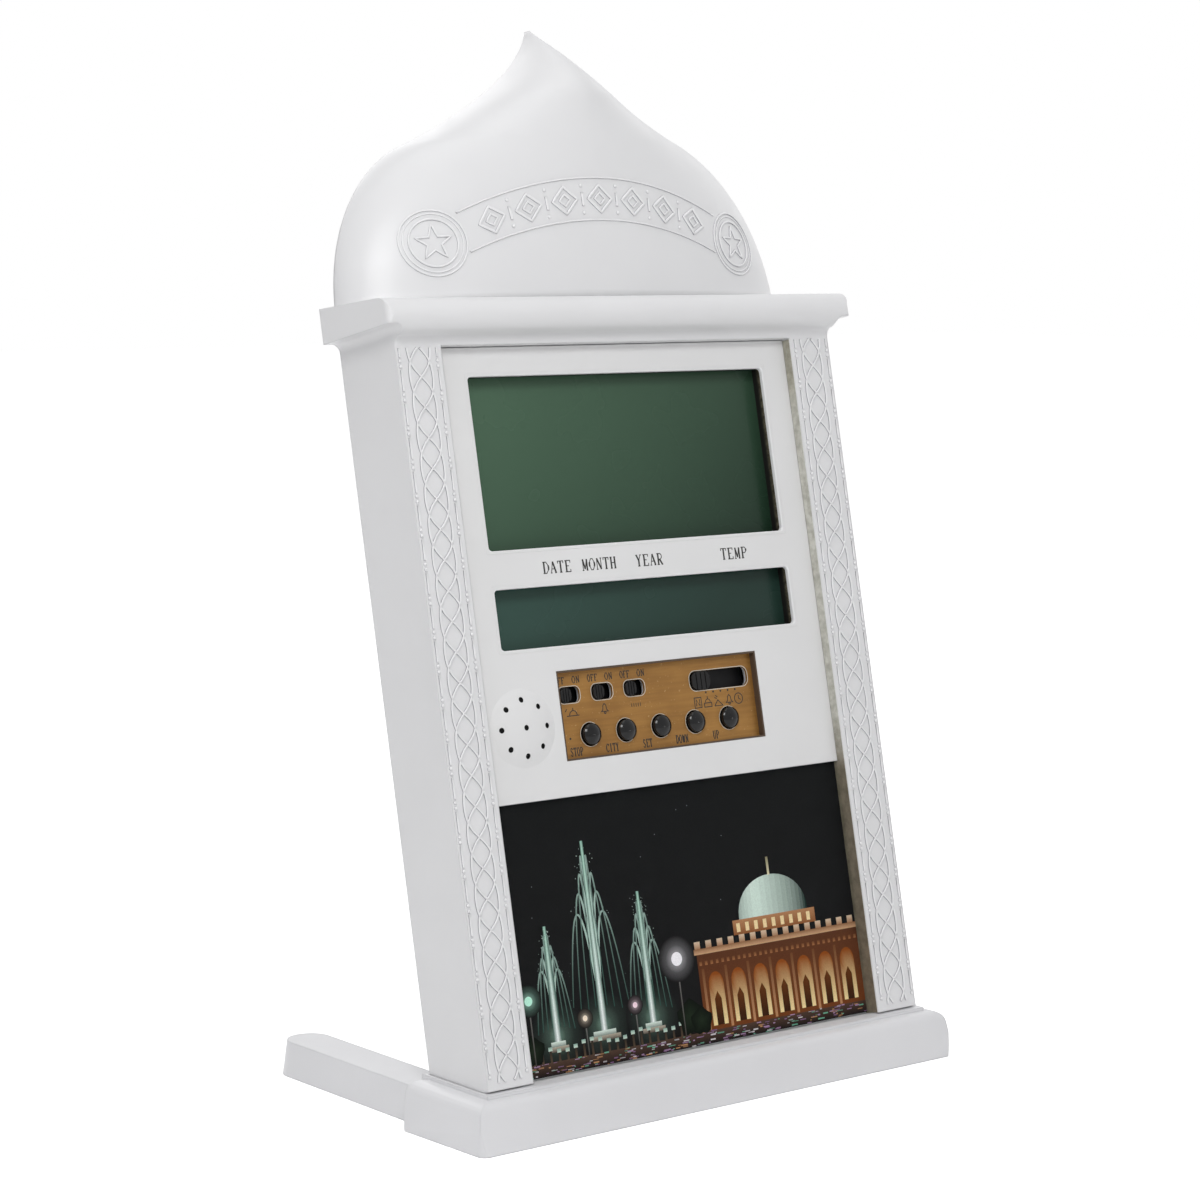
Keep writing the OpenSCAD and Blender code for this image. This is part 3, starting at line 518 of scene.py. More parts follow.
def clear_sheet():
    """Clear acrylic cover: see-through, with a soft sheen and faint hairlines."""
    m = Mat("clear_acrylic")
    see = m.node("ShaderNodeBsdfTransparent")
    see.inputs[0].default_value = (0.97, 0.985, 0.98, 1.0)
    gloss = m.node("ShaderNodeBsdfGlossy")
    hair = m.noise(240.0, 2.0, 0.5, (0.15, 1.0, 2.2))
    m.link(m.span(hair, 0.45, 0.75, 0.06, 0.16), gloss.inputs["Roughness"])
    fres = m.node("ShaderNodeFresnel")
    fres.inputs["IOR"].default_value = 1.3
    # The sheet bends no rays, so its far side would mirror: only the side that a ray enters by reflects.
    entry = m.span(m.node("ShaderNodeNewGeometry").outputs["Backfacing"], 0.0, 1.0, 1.0, 0.0)
    sheen = m.calc("MULTIPLY", m.span(fres.outputs[0], 0.04, 1.0, 0.0, 1.0), entry)
    mixer = m.node("ShaderNodeMixShader")
    for sock, value in zip(mixer.inputs, (sheen, see.outputs[0], gloss.outputs[0])):
        m.link(value, sock)
    m.link(mixer.outputs[0], m.out.inputs[0])
    m.tree.nodes.remove(m.shader)
    return m.mat


def cell_sleeve():
    """Printed sleeve of a cell: green with a copper end at its nub, the two cells lying opposite ways."""
    m = Mat("cell_sleeve")
    x, _, z = m.place()
    way = m.calc("MULTIPLY", x, m.span(z, CELL_MID_Z - 0.0001, CELL_MID_Z + 0.0001, -1.0, 1.0))
    along = m.span(way, -0.026, 0.026, 0.0, 1.0)
    band = m.ramp(along, [(0.25, lin(150, 96, 52)), (0.27, lin(22, 92, 58))])
    m.set("Base Color", m.mix(m.span(m.noise(500.0), 0.4, 0.7, 0.0, 0.045), band, lin(200, 200, 200)))
    m.set("Roughness", 0.3)
    m.set("Metallic", 0.2)
    m.bump(m.noise(600.0, 1.0), 0.05, 0.00004)
    return m.mat


BLACK = glossy_black()
LCD_MAIN = display_glass("main_display_glass", lin(75, 103, 82), lin(26, 47, 34))
LCD_SMALL = display_glass("small_display_glass", lin(65, 95, 86), lin(36, 57, 50))
GOLD = gold_plate()
STEEL = steel()
BOARD = board_green()
INK = ink_material("black_ink", lin(30, 28, 26))
INK_BROWN = ink_material("brown_ink", lin(26, 19, 13))
# light tone of the plate rims: a painted highlight of the punched edges
RIM_PAINTED_HIGHLIGHT = moulded("punched_rim_painted_highlight", lin(206, 198, 184), (0.3, 0.4), 0.0, 0.1)
PAINT = printed_paint()
LINER = liner_strip()
GASKET = gasket_rubber()
CLEAR = clear_sheet()
CELL = cell_sleeve()

LOOKS = (
    (WHITE_STAND, "stand_plinth stand_leg_left stand_leg_right"),
    (WHITE, "front_case dome_front rear_cover battery_door"),
    (PANEL, "fascia_panel"),
    (GASKET, "main_gasket small_gasket"),
    (BROWN, "control_gasket"),
    (LCD_MAIN, "main_display"),
    (LCD_SMALL, "small_display"),
    (IVORY, "main_display_holder small_display_holder"),
    (RUBBER, "contact_strips"),
    (BOARD, "main_board control_board"),
    (DARK, "board_parts tact_switches switch_bodies mode_switch_body speaker"),
    (GOLD, "control_plate"),
    (STEEL, "stand_screws case_screws board_screws cell_springs cell_contacts"),
    (CLEAR, "picture_cover"),
    (CELL, "battery_cells"),
    (PAINT, "picture_card"),
)
LOOK_OF = {node_name: look for look, names in LOOKS for node_name in names.split()}
for node_name, obj in NODES.items():  # the buttons and knobs, which have no row above, are black
    look = LOOK_OF.get(node_name, BLACK)
    if not obj.material_slots:
        obj.data.materials.append(look)
    for s in obj.material_slots:
        s.material = look


# -------- the dome
# Heights count from the foot of the dome; depths are those of its half-oval sections.
DOME_Z = CORNICE_TOP + 0.02
FOOT_HALF, DOME_H, FOOT_D, SWELL_D, TIP_D = 75.0, 79.8, 22.6, 23.4, 1.8
SWELL_SHARE = 0.71
DOME_WALL = 2.2
SLOPE_RISE, SLOPE_RUN = 2.3, 26.2  # the top of the cornice, which the foot follows
# Outline of the half dome: two cubic curves, (half width, height) at their four control points.
LOW = [(FOOT_HALF, 0.0), (FOOT_HALF, 0.314 * DOME_H), (0.812 * FOOT_HALF, 0.517 * DOME_H),
       (0.64 * FOOT_HALF, 0.58 * DOME_H)]
HIGH = [LOW[3], (0.588 * FOOT_HALF, 0.599 * DOME_H), (0.063 * FOOT_HALF, 0.804 * DOME_H), (0.35, DOME_H)]


def oval(h):
    """Roundness of a half section: nearly oval at the foot, a softer flank above the neck."""
    return 2.2 - 0.45 * min(1.0, max(0.0, h) / (0.55 * DOME_H))


def cubic(p, t):
    """Point of the cubic curve with the control points p."""
    k = ((1 - t) ** 3, 3 * (1 - t) ** 2 * t, 3 * (1 - t) * t * t, t ** 3)
    return tuple(sum(k[i] * p[i][c] for i in range(4)) for c in range(2))


def dome_depth(h):
    """Depth of the half section at a height."""
    s = h / DOME_H
    if s < SWELL_SHARE:
        return FOOT_D + (SWELL_D - FOOT_D) * math.sin(math.pi / 2 * s / SWELL_SHARE)
    return TIP_D + (SWELL_D - TIP_D) * max(0.0, 1 - ((s - SWELL_SHARE) / (1 - SWELL_SHARE)) ** 1.66) ** 1.1


ROWS = [cubic(LOW, i / 52) for i in range(52)] + [cubic(HIGH, i / 44) for i in range(45)]


def dome_half(h):
    """Half width of the dome at a height."""
    for (a0, h0), (a1, h1) in zip(ROWS, ROWS[1:]):
        if h <= h1:
            f = (h - h0) / max(1e-9, h1 - h0)
            return a0 + (a1 - a0) * f
    return ROWS[-1][0]


def dome_y(x, h):
    """Depth of the outer skin of the dome at a place seen from the front."""
    a, d, n = dome_half(h), dome_depth(h), oval(h)
    return CASE_D - d * max(0.0, 1 - min(1.0, abs(x) / a) ** n) ** (1 / n)


def dome_normal(x, h):
    """Outward normal of the skin, from its slopes over a small step."""
    e = 0.3
    dx = (dome_y(x + e, h) - dome_y(x - e, h)) / (2 * e)
    dh = (dome_y(x, h + e) - dome_y(x, h - e)) / (2 * e)
    return Vector((dx, -1.0, dh)).normalized()


def dome_height(h, y):
    """Height up the case of a skin point; the foot follows the slope of the cornice."""
    if h <= 0:
        return DOME_Z + (y + 1) * SLOPE_RISE / SLOPE_RUN
    return DOME_Z + max(h, SLOPE_RISE + h / 4)


def dome_shell():
    """Smooth shell of the dome, hollow behind, in the place of the CAD one."""
    steps = 96
    s = Shape()

    def row(a, d, h):
        out, p = [], 2 / oval(h)
        for k in range(steps + 1):
            t = math.pi * k / steps
            c, q = math.cos(t), math.sin(t)
            x = -a * math.copysign(abs(c) ** p, c)
            y = CASE_D - d * abs(q) ** p
            out.append(world(x, y, dome_height(h, y)))
        return out

    outer = [row(a, dome_depth(h), h) for a, h in ROWS]
    last = int(len(ROWS) * 22 / 24)
    inner = [row(max(0.6, a - DOME_WALL), max(0.9, dome_depth(h) - DOME_WALL), h * 0.985) for a, h in ROWS[:last]]
    n = steps + 1
    verts = [p for r in outer for p in r] + [p for r in inner for p in r]
    base = len(outer) * n
    faces = []
    for j in range(len(outer) - 1):
        for k in range(steps):
            faces.append((j * n + k, j * n + k + 1, (j + 1) * n + k + 1, (j + 1) * n + k))
    for j in range(last - 1):
        for k in range(steps):
            a = base + j * n + k
            faces.append((a + 1, a, a + n, a + n + 1))
    for k in range(steps):
        faces.append((k + 1, k, base + k, base + k + 1))
    for j in range(last - 1):
        faces.append((j * n, (j + 1) * n, base + (j + 1) * n, base + j * n))
        a, b = j * n + steps, base + j * n + steps
        faces.append((a + n, a, b, b + n))
    top = last - 1
    faces.append(tuple(base + top * n + k for k in range(n)))
    faces.append((top * n, base + top * n, base + top * n + steps, top * n + steps))
    for j in range(top, len(outer) - 1):
        faces.append((j * n, j * n + steps, (j + 1) * n + steps, (j + 1) * n))
    end = (len(outer) - 1) * n
    faces.append(tuple(end + k for k in range(n)))
    s.add(verts, faces)
    s.build("dome_shell", [WHITE], replaces=("dome_front",))


dome_shell()


def on_dome(x, h):
    """Point on the dome's skin."""
    return (x, dome_y(x, h), DOME_Z + h)


def dome_line(s, pts, half_w, height, closed=False):
    rib(s, [on_dome(*p) for p in pts], [dome_normal(*p) for p in pts], half_w, height, 0.2, closed)


def arc3(p0, p1, p2, n):
    """Points on the circle through three places."""
    (ax, ay), (bx, by), (cx, cy) = p0, p1, p2
    a2, b2, c2 = ax ** 2 + ay ** 2, bx ** 2 + by ** 2, cx ** 2 + cy ** 2
    d = 2 * (ax * (by - cy) + bx * (cy - ay) + cx * (ay - by))
    ux = (a2 * (by - cy) + b2 * (cy - ay) + c2 * (ay - by)) / d
    uy = (a2 * (cx - bx) + b2 * (ax - cx) + c2 * (bx - ax)) / d
    r = math.hypot(ax - ux, ay - uy)
    t0, t1 = math.atan2(ay - uy, ax - ux), math.atan2(cy - uy, cx - ux)
    return [polar(ux, uy, r, t0 + (t1 - t0) * i / n) for i in range(n + 1)]


MEDAL_X, MEDAL_H = 52.0, 16.6
TOP_ARC = [(-44.6, 24.4), (0.0, 33.3), (44.6, 24.4)]
LOW_ARC = [(-42.6, 13.6), (0.0, 21.7), (42.6, 13.6)]
BAND_HALF, BAND_STEPS = 45.0, 240
LOZENGE_PITCH = 11.9


def dome_relief():
    """Two medallions with stars, and a strap of lozenges, bars and beads between two arcs."""
    s = Shape()
    for side in (-1, 1):
        mid = (side * MEDAL_X, MEDAL_H)
        for r, w, h in ((9.0, 0.28, 0.34), (8.0, 0.22, 0.22), (6.5, 0.3, 0.42)):
            dome_line(s, [polar(*mid, r, t * math.pi / 24) for t in range(48)], w, h, True)
        star = [polar(*mid, 2.0 if k % 2 else 5.0, math.radians(90 + 36 * k)) for k in range(10)]
        fine = []
        for a, b in zip(star, star[1:] + star[:1]):
            fine += [blend(a, b, i / 4) for i in range(4)]
        dome_line(s, fine, 0.28, 0.42, True)
    dome_line(s, arc3(*TOP_ARC, 72), 0.26, 0.4)
    dome_line(s, arc3(*LOW_ARC, 72), 0.26, 0.4)
    top, low = arc3(*TOP_ARC, BAND_STEPS), arc3(*LOW_ARC, BAND_STEPS)

    def band(u, v):
        """u runs along the band in millimetres from its middle, v from its lower edge to its upper edge."""
        f = (u + BAND_HALF) / (2 * BAND_HALF) * BAND_STEPS
        i = max(0, min(BAND_STEPS - 1, int(f)))
        return blend(blend(low[i], low[i + 1], f - i), blend(top[i], top[i + 1], f - i), v)

    def band_line(pts, half_w, height, closed=False):
        fine = []
        ends = list(zip(pts, pts[1:] + pts[:1])) if closed else list(zip(pts, pts[1:]))
        for a, b in ends:
            m = max(1, int(math.hypot(b[0] - a[0], (b[1] - a[1]) * 11) / 0.8))
            fine += [band(*blend(a, b, i / m)) for i in range(m)]
        if not closed:
            fine.append(band(*pts[-1]))
        dome_line(s, fine, half_w, height, closed)

    for c in range(-3, 4):
        u = c * LOZENGE_PITCH
        band_line([(u - 4.1, 0.5), (u, 0.82), (u + 4.1, 0.5), (u, 0.18)], 0.4, 0.45, True)
        band_line([(u - 1.8, 0.5), (u, 0.64), (u + 1.8, 0.5), (u, 0.36)], 0.34, 0.4, True)
        if c < 3:
            m = u + LOZENGE_PITCH / 2
            band_line([(m, 0.34), (m, 0.66)], 0.36, 0.42)
            for v in (0.18, 0.82):
                spot = band(m, v)
                bead(s, on_dome(*spot), dome_normal(*spot), 0.55, 0.42)
    s.build("dome_relief", [RELIEF_PAINTED_LIGHT, RELIEF_FOOT_PAINTED_SHADE])


dome_relief()


# -------- pilasters
def pilaster(side):
    """Braid of four strands between two beaded borders, raised on the pilaster face."""
    s = Shape()
    mid, amp = side * 67.9, 3.6
    period, cross = 7.95, 198.04  # spacing of the crossings, and the height of one
    bead_top, bead_pitch = 201.5, 8.76
    z0, z1 = 16.6, 205.6
    front = (0.0, -1.0, 0.0)
    n = 460
    for k in range(4):
        pts = []
        for i in range(n + 1):
            z = z0 + (z1 - z0) * i / n
            t = math.pi * (z - cross) / (2 * period) + k * math.pi / 2
            pts.append((mid + amp * math.tanh(1.2 * math.sin(t)) / math.tanh(1.2), 0.0, z))
        rib(s, pts, [front] * len(pts), 0.3, 0.5)
    for x in (side * 74.0, side * 62.2):
        for m in range(-1, 22):
            z = bead_top - bead_pitch * m
            for d in (-0.72, 0.72):
                if z0 < z + d - 0.6 and z + d + 0.6 < z1:
                    bead(s, (x, 0.0, z + d), front, 0.52, 0.5)
            a, b = max(z0, z - 7.1), min(z1, z - 1.66)
            if b - a > 1:
                rib(s, [(x, 0.0, a), (x, 0.0, (a + b) / 2), (x, 0.0, b)], [front] * 3, 0.27, 0.42)
    s.build("pilaster_relief_" + SIDES[side], [RELIEF_PAINTED_LIGHT, RELIEF_FOOT_PAINTED_SHADE])


pilaster(-1)
pilaster(1)


def recess_liner(side):
    """Thin strip on the side wall of the recess, beside the picture and beside the fascia."""
    s = Shape()
    x = side * RECESS_HALF
    joint = PICTURE_TOP - 0.1
    lengths = ((CASE_FOOT + 0.1, joint, FRONT_FLOOR - 0.04, 24), (joint, RECESS_TOP - 0.4, RECESS_D - 0.02, 36))
    for z0, z1, y1, n in lengths:
        verts = []
        for i in range(n + 1):
            z = z0 + (z1 - z0) * i / n
            for dx, y in ((0.02, 0.35), (-0.16, 0.35), (-0.16, y1), (0.02, y1)):
                verts.append(world(x + side * dx, y, z))
        faces = []
        for i in range(n):
            faces += bridge(i, i + 1, 4)
        faces += [(3, 2, 1, 0), tuple(n * 4 + k for k in range(4))]
        s.add(verts, faces)
    s.build("recess_liner_" + SIDES[side], [LINER], smooth=False)


def grille_shade_cups():
    """Black cups in the nine grille holes: painted shade, which darkens the deep holes."""
    s = Shape()
    cap_r = (GRILLE_R ** 2 + GRILLE_RISE ** 2) / (2 * GRILLE_RISE)
    n = 18
    spots = [(0.0, 0.0)] + [polar(0.0, 0.0, 7.4, k * math.pi / 4) for k in range(8)]
    for u, v in spots:
        verts = []
        for r, deep in ((0.77, 0.12), (0.69, 0.12), (0.69, 0.8), (0.77, 1.1)):
            for k in range(n):
                a, b = polar(u, v, r, 2 * math.pi * k / n)
                skin = RECESS_D - GRILLE_RISE + cap_r - math.sqrt(cap_r ** 2 - a * a - b * b)
                verts.append(world(SPEAKER_X + a, skin + deep, SPEAKER_Z + b))
        faces = []
        for a, b in ((0, 1), (1, 2), (3, 0)):
            faces += bridge(a, b, n)
        faces.append(tuple(2 * n + k for k in range(n)))
        faces.append(tuple(3 * n + k for k in reversed(range(n))))
        s.add(verts, faces)
    s.build("grille_shade_cups", [GRILLE_PAINTED_SHADE], smooth=False)


grille_shade_cups()
recess_liner(-1)
recess_liner(1)


def window_edges():
    """Rounded edge of the fascia sheet round the two display windows, with a painted highlight: its rounded rings
    take the lighter relief white.
    """
    s = Shape()
    # each ring's distance outside the window, depth behind the sheet's face and corner radius
    section = ((0.62, -0.025, 0.02), (-0.02, -0.03, 0.9), (-0.2, 0.04, 1.1), (-0.3, 0.3, 1.2), (-0.3, 1.1, 1.2),
               (0.4, 1.1, 0.02))
    for top, tall in ((MAIN_TOP, MAIN_H), (SMALL_TOP, SMALL_H)):
        rings = []
        for grow, deep, r in section:
            half, y = DISPLAY_HALF + grow, RECESS_D + deep
            rings.append([world(x, y, z) for x, z in rounded(-half, half, top - tall - grow, top + grow, r)])
        n = len(rings[0])
        faces, mats = [], []
        for a in range(len(rings)):
            faces += bridge(a, (a + 1) % len(rings), n)
            # the rounded rings 1 to 3 carry the painted highlight
            mats += [1 if a in (1, 2, 3) else 0] * n
        s.add([v for ring in rings for v in ring], faces, None, mats)
    s.build("window_edges", [PANEL, RELIEF_PAINTED_LIGHT], smooth=False)


window_edges()


# -------- lettering
# Strokes of plain capitals, in hundredths of their width and height: heavy ones first, then fine ones.
GLYPHS = {
    "A": ("45,100 90,0", "45,100 10,0 / 22,35 72,35 / 0,0 25,0 / 70,0 100,0"),
    "C": ("12,75 5,50 12,25", "95,78 75,97 45,100 12,75 / 12,25 45,0 75,3 95,22 / 95,100 95,75"),
    "D": ("20,0 20,100 / 90,70 95,50 90,30", "0,100 55,100 90,70 / 0,0 55,0 90,30"),
    "E": ("22,0 22,100", "0,100 90,100 90,80 / 22,52 65,52 / 0,0 92,0 92,22"),
    "F": ("22,0 22,100", "0,100 90,100 90,80 / 22,52 65,52 / 0,0 45,0"),
    "H": ("18,0 18,100 / 82,0 82,100", "18,50 82,50 / 0,0 36,0 / 0,100 36,100 / 64,0 100,0 / 64,100 100,100"),
    "I": ("50,0 50,100", "25,0 75,0 / 25,100 75,100"),
    "M": ("85,0 85,100 / 15,100 50,10", "15,0 15,100 / 50,10 85,100 / 0,0 30,0 / 70,0 100,0"),
    "N": ("15,100 85,0", "15,0 15,100 / 85,0 85,100 / 0,0 30,0 / 70,100 100,100"),
    "O": ("10,70 5,50 10,30 / 90,70 95,50 90,30", "10,70 35,100 65,100 90,70 / 10,30 35,0 65,0 90,30"),
    "P": ("22,0 22,100 / 88,85 88,65", "0,100 65,100 88,85 / 88,65 65,48 22,48 / 0,0 45,0"),
    "R": ("22,0 22,100 / 45,48 88,0", "0,100 60,100 82,86 82,64 60,48 22,48 / 0,0 42,0 / 80,0 100,0"),
    "S": ("15,72 50,52 85,30", "85,80 60,100 35,100 15,72 / 85,30 65,0 35,0 12,20"),
    "T": ("50,0 50,100", "5,80 5,100 95,100 95,80 / 30,0 70,0"),
    "U": ("20,100 20,25", "20,25 40,0 65,0 85,25 85,100 / 0,100 40,100 / 70,100 100,100"),
    "W": ("10,100 32,0 / 50,85 70,0", "32,0 50,85 / 70,0 92,100 / 0,100 22,100 / 80,100 100,100"),
    "Y": ("15,100 50,50 50,0", "85,100 50,50 / 0,100 30,100 / 70,100 100,100 / 30,0 70,0"),
}


def word(s, text, x0, x1, z, height, y, heavy, fine):
    """Plain capitals set between two places, with heavy and fine strokes."""
    pitch = (x1 - x0 + (x1 - x0) / len(text) * 0.22) / len(text)
    wide, foot = pitch * 0.80, z - height / 2
    for i, c in enumerate(text):
        for weight, strokes in zip((heavy, fine), GLYPHS[c]):
            for line in strokes.split("/"):
                pts = [[int(n) / 100 for n in p.split(",")] for p in line.split()]
                ink(s, [(x0 + i * pitch + px * wide, foot + pz * height) for px, pz in pts], y, weight)


def fascia_labels():
    """Words between the two displays."""
    s = Shape()
    label_z = 146.6
    for text, a, b in (("DATE", -34.4, -25.1), ("MONTH", -21.3, -9.8), ("YEAR", -2.8, 6.5), ("TEMP", 27.4, 36.8)):
        word(s, text, a, b, label_z, 3.0, RECESS_D, 0.5, 0.24)
    s.build("fascia_labels", [INK], smooth=False)


fascia_labels()


def plate_print():
    """Words, dots and small signs on the control plate."""
    s = Shape()
    y = FRONT_FLOOR
    for i in (-1, 0, 1):
        x = SWITCH_X + SWITCH_PITCH * i
        word(s, "OFF", x - 4.4, x - 1.1, SWITCH_Z + 3.9, 1.75, y, 0.3, 0.22)
        word(s, "ON", x + 1.5, x + 4.0, SWITCH_Z + 3.9, 1.75, y, 0.3, 0.22)
    for k, text in enumerate(("STOP", "CITY", "SET", "DOWN", "UP")):
        x = BUTTON_PITCH * (k - 2) - 5.2
        w = 1.05 * len(text)
        word(s, text, x - w / 2, x + w / 2, BUTTON_Z - 4.2, 2.1, y, 0.32, 0.22)
    blot(s, -31.0, BUTTON_Z - 0.6, 0.3, y)
    for k in range(5):
        blot(s, 17.3 + 2.62 * k, SIGN_Z + 2.6, 0.3, y)

    def line(pts, closed=False, w=0.25):
        ink(s, pts, y, w, closed=closed)

    def ring(cx, cz, r, n, turn=360):
        full = turn == 360
        line([polar(cx, cz, r, math.radians(turn * i / n)) for i in range(n if full else n + 1)], full)

    # five small signs: a framed page, a dome, a lamp over a hill, a bell and a clock
    z = SIGN_Z
    line([(12.9, z - 1.4), (15.3, z - 1.4), (15.3, z + 1.4), (12.9, z + 1.4)], True)
    line([(13.5, z - 0.9), (13.5, z + 0.9), (14.7, z - 0.9), (14.7, z + 0.9)])
    ring(17.6, z - 0.1, 0.85, 12, 180)
    line([(16.3, z - 0.3), (16.3, z - 1.4), (18.9, z - 1.4), (18.9, z - 0.3), (16.3, z - 0.3)])
    line([(17.6, z + 0.8), (17.6, z + 1.5)])
    line([(19.9, z - 1.4), (21.2, z + 0.2), (22.0, z - 0.6), (22.9, z - 1.4), (19.9, z - 1.4)])
    line([(20.1, z + 0.9), (20.9, z + 0.6)])
    line([(20.5, z + 1.5), (21.2, z + 1.0)])
    bell = ((-1.2, -0.8), (-0.7, -0.4), (-0.5, 0.8), (0.0, 1.3), (0.5, 0.8), (0.7, -0.4), (1.2, -0.8))
    for cx, cz in ((25.3, z), (-18.3, SWITCH_SIGN_Z)):
        line([(cx + a, cz + b) for a, b in bell], True)
        ring(cx, cz - 1.1, 0.3, 8)
    ring(28.7, z, 1.45, 22)
    line([(28.7, z + 0.9), (28.7, z), (29.4, z - 0.4)])
    # under the first switch: a dome on a line, and a stroke beside it
    z = SWITCH_SIGN_Z
    line([(-31.2, z - 1.0), (-27.0, z - 1.0)])
    ring(-29.0, z - 0.9, 1.25, 12, 180)
    line([(-29.0, z + 0.4), (-29.0, z + 1.1)])
    line([(-31.6, z + 0.2), (-31.0, z + 0.9)])
    # under the third switch: a short row of ticks
    for k in range(5):
        x = -9.0 + 0.75 * k
        line([(x, z - 0.5), (x, z + 0.5)], w=0.2)
    s.build("plate_print", [INK_BROWN], smooth=False)


plate_print()


def plate_rims():
    """Bright rims round the slots and the button holes: a painted highlight of their punched edges."""
    s = Shape()
    slots = [(SWITCH_X + SWITCH_PITCH * i, 3.7, 2.3, 1.75) for i in (-1, 0, 1)] + [(MODE_SWITCH_X, 10.5, 2.8, 2.15)]
    for x, half_w, half_h, r in slots:
        path = rounded(x - half_w, x + half_w, SWITCH_Z - half_h, SWITCH_Z + half_h, r)
        ink(s, path, FRONT_FLOOR, 0.2, 0.05, True)
    for i in range(-2, 3):
        path = [polar(BUTTON_PITCH * i, BUTTON_Z, 3.28, t * math.pi / 20) for t in range(40)]
        ink(s, path, FRONT_FLOOR, 0.16, 0.05, True)
    s.build("plate_rims", [RIM_PAINTED_HIGHLIGHT], smooth=False)


plate_rims()


# -------- the picture
def picture():
    """A generic night garden, three fountains, lamps and an arcade, in thin layers of colour on the card."""
    s = Shape()
    half, low, high = RECESS_HALF - 0.2, CASE_FOOT + 0.4, PICTURE_TOP - 0.1
    wide, tall = 2 * half, high - low
    face = FRONT_FLOOR - 0.48
    corners = [world(x, y, z) for y in (face, FRONT_FLOOR)
               for x, z in ((-half, low), (half, low), (half, high), (-half, high))]
    s.add(corners, [(4, 5, 6, 7), (0, 4, 7, 3), (1, 2, 6, 5), (0, 1, 5, 4), (3, 7, 6, 2)], lin(120, 118, 112))
    depth, layer_step = face, 0.0022

    def layer():
        nonlocal depth
        depth -= layer_step

    def at(u, v):
        """u and v in millimetres from the lower left corner, kept inside the card."""
        return world(min(max(u, 0.0), wide) - half, depth, low + min(max(v, 0.0), tall))

    def poly(pts, tint):
        s.add([at(*p) for p in pts], [tuple(range(len(pts)))], tint)

    def rect(u, v, w, h, tint, tint_top=None):
        c = tint if tint_top is None else (tint, tint, tint_top, tint_top)
        poly([(u, v), (u + w, v), (u + w, v + h), (u, v + h)], c)

    def glow(u, v, r, core, rim, bright=0.0):
        """Halo that fades from its core to its rim, with a disc of the core's colour on top."""
        n = 28
        rings = ((0.0, 0.0), (0.14, 0.35), (0.3, 0.72), (0.6, 0.92), (1.0, 1.0))
        for (a, f), (b, g) in zip(rings, rings[1:]):
            ca, cb = blend(core, rim, f), blend(core, rim, g)
            for k in range(n):
                t, w = 2 * math.pi * k / n, 2 * math.pi * (k + 1) / n
                outside = [polar(u, v, r * b, t), polar(u, v, r * b, w)]
                if a == 0:
                    poly([(u, v)] + outside, (ca, cb, cb))
                else:
                    poly(outside + [polar(u, v, r * a, w), polar(u, v, r * a, t)], (cb, cb, ca, ca))
        if bright:
            layer()
            poly([polar(u, v, bright, 2 * math.pi * k / n) for k in range(n)], core)

    rng = random.Random(5)
    # sky, a shade warmer over the garden, with a few stars
    dusk, horizon = lin(31, 30, 31), 14
    rect(0, 0, wide, horizon, lin(33, 29, 28), dusk)
    rect(0, horizon, wide, tall - horizon, dusk, lin(30, 30, 31))
    layer()
    for _ in range(9):
        u, v = rng.uniform(8, 80), rng.uniform(34, 66)
        rect(u, v, 0.25, 0.25, lin(120, 122, 128))
    layer()

    def stream(pts):
        """Thin ribbon that narrows and darkens towards its end."""
        n = len(pts) - 1
        ends = [(0.375 - 0.225 * k / n, blend(lin(214, 236, 226), lin(52, 82, 74), k / n)) for k in range(n + 1)]
        for k in range(n):
            (ax, az), (bx, bz) = pts[k], pts[k + 1]
            (wa, ca), (wb, cb) = ends[k], ends[k + 1]
            d = max(1e-6, math.hypot(bx - ax, bz - az))
            nx, nz = (bz - az) / d, (ax - bx) / d
            poly([(ax - nx * wa, az - nz * wa), (ax + nx * wa, az + nz * wa),
                  (bx + nx * wb, bz + nz * wb), (bx - nx * wb, bz - nz * wb)], (ca, ca, cb, cb))

    # three fountains: a bright column each, and thin streams that rise, bend over and fall
    edge = lin(70, 106, 92)
    for u, base, rise, reach in ((28.0, 9.0, 50.0, 9.5), (12.5, 8.4, 30.0, 6.0), (44.5, 8.6, 35.0, 7.0)):
        glow(u, base + 1.5, 9.0, lin(120, 146, 132), dusk)
        layer()
        for share in (1.0, 0.72, 0.45, 0.2):
            for side in (-1, 1):
                top = rise * (0.62 + 0.38 * (1 - share))
                stream([(u + side * reach * share * f ** 1.25, base + top * (1 - (1 - 1.93 * f) ** 2))
                        for f in (k / 22 for k in range(23))])
                layer()
        column = [(1.25 - 0.75 * f, base + rise * f, blend(lin(255, 255, 255), lin(186, 222, 206), f))
                  for f in (k / 20 for k in range(21))]
        for (wa, za, ta), (wb, zb, tb) in zip(column, column[1:]):
            poly([(u - wa, za), (u, za), (u, zb), (u - wb, zb)], (edge, ta, tb, edge))
            poly([(u, za), (u + wa, za), (u + wb, zb), (u, zb)], (ta, edge, edge, tb))
        layer()
        # drops round the crown and the basin below
        for _ in range(46):
            a, q = rng.uniform(-1, 1), rng.uniform(0.0, 1.0)
            r = rng.uniform(0.1, 0.24)
            z = base + rise * (1.0 - 0.75 * q * abs(a)) - rng.uniform(0, 5)
            rect(u + a * reach * (0.3 + 0.8 * q), z, r, r, blend(lin(220, 236, 228), lin(70, 96, 88), q))
        layer()
        for h, w, below, above in ((0.0, 1.1, lin(96, 84, 76), lin(190, 176, 160)),
                                   (1.3, 0.792, lin(140, 150, 142), lin(232, 240, 232))):
            rect(u - reach * w / 2, base - 2.6 + h, reach * w, 1.3, below, above)
            layer()
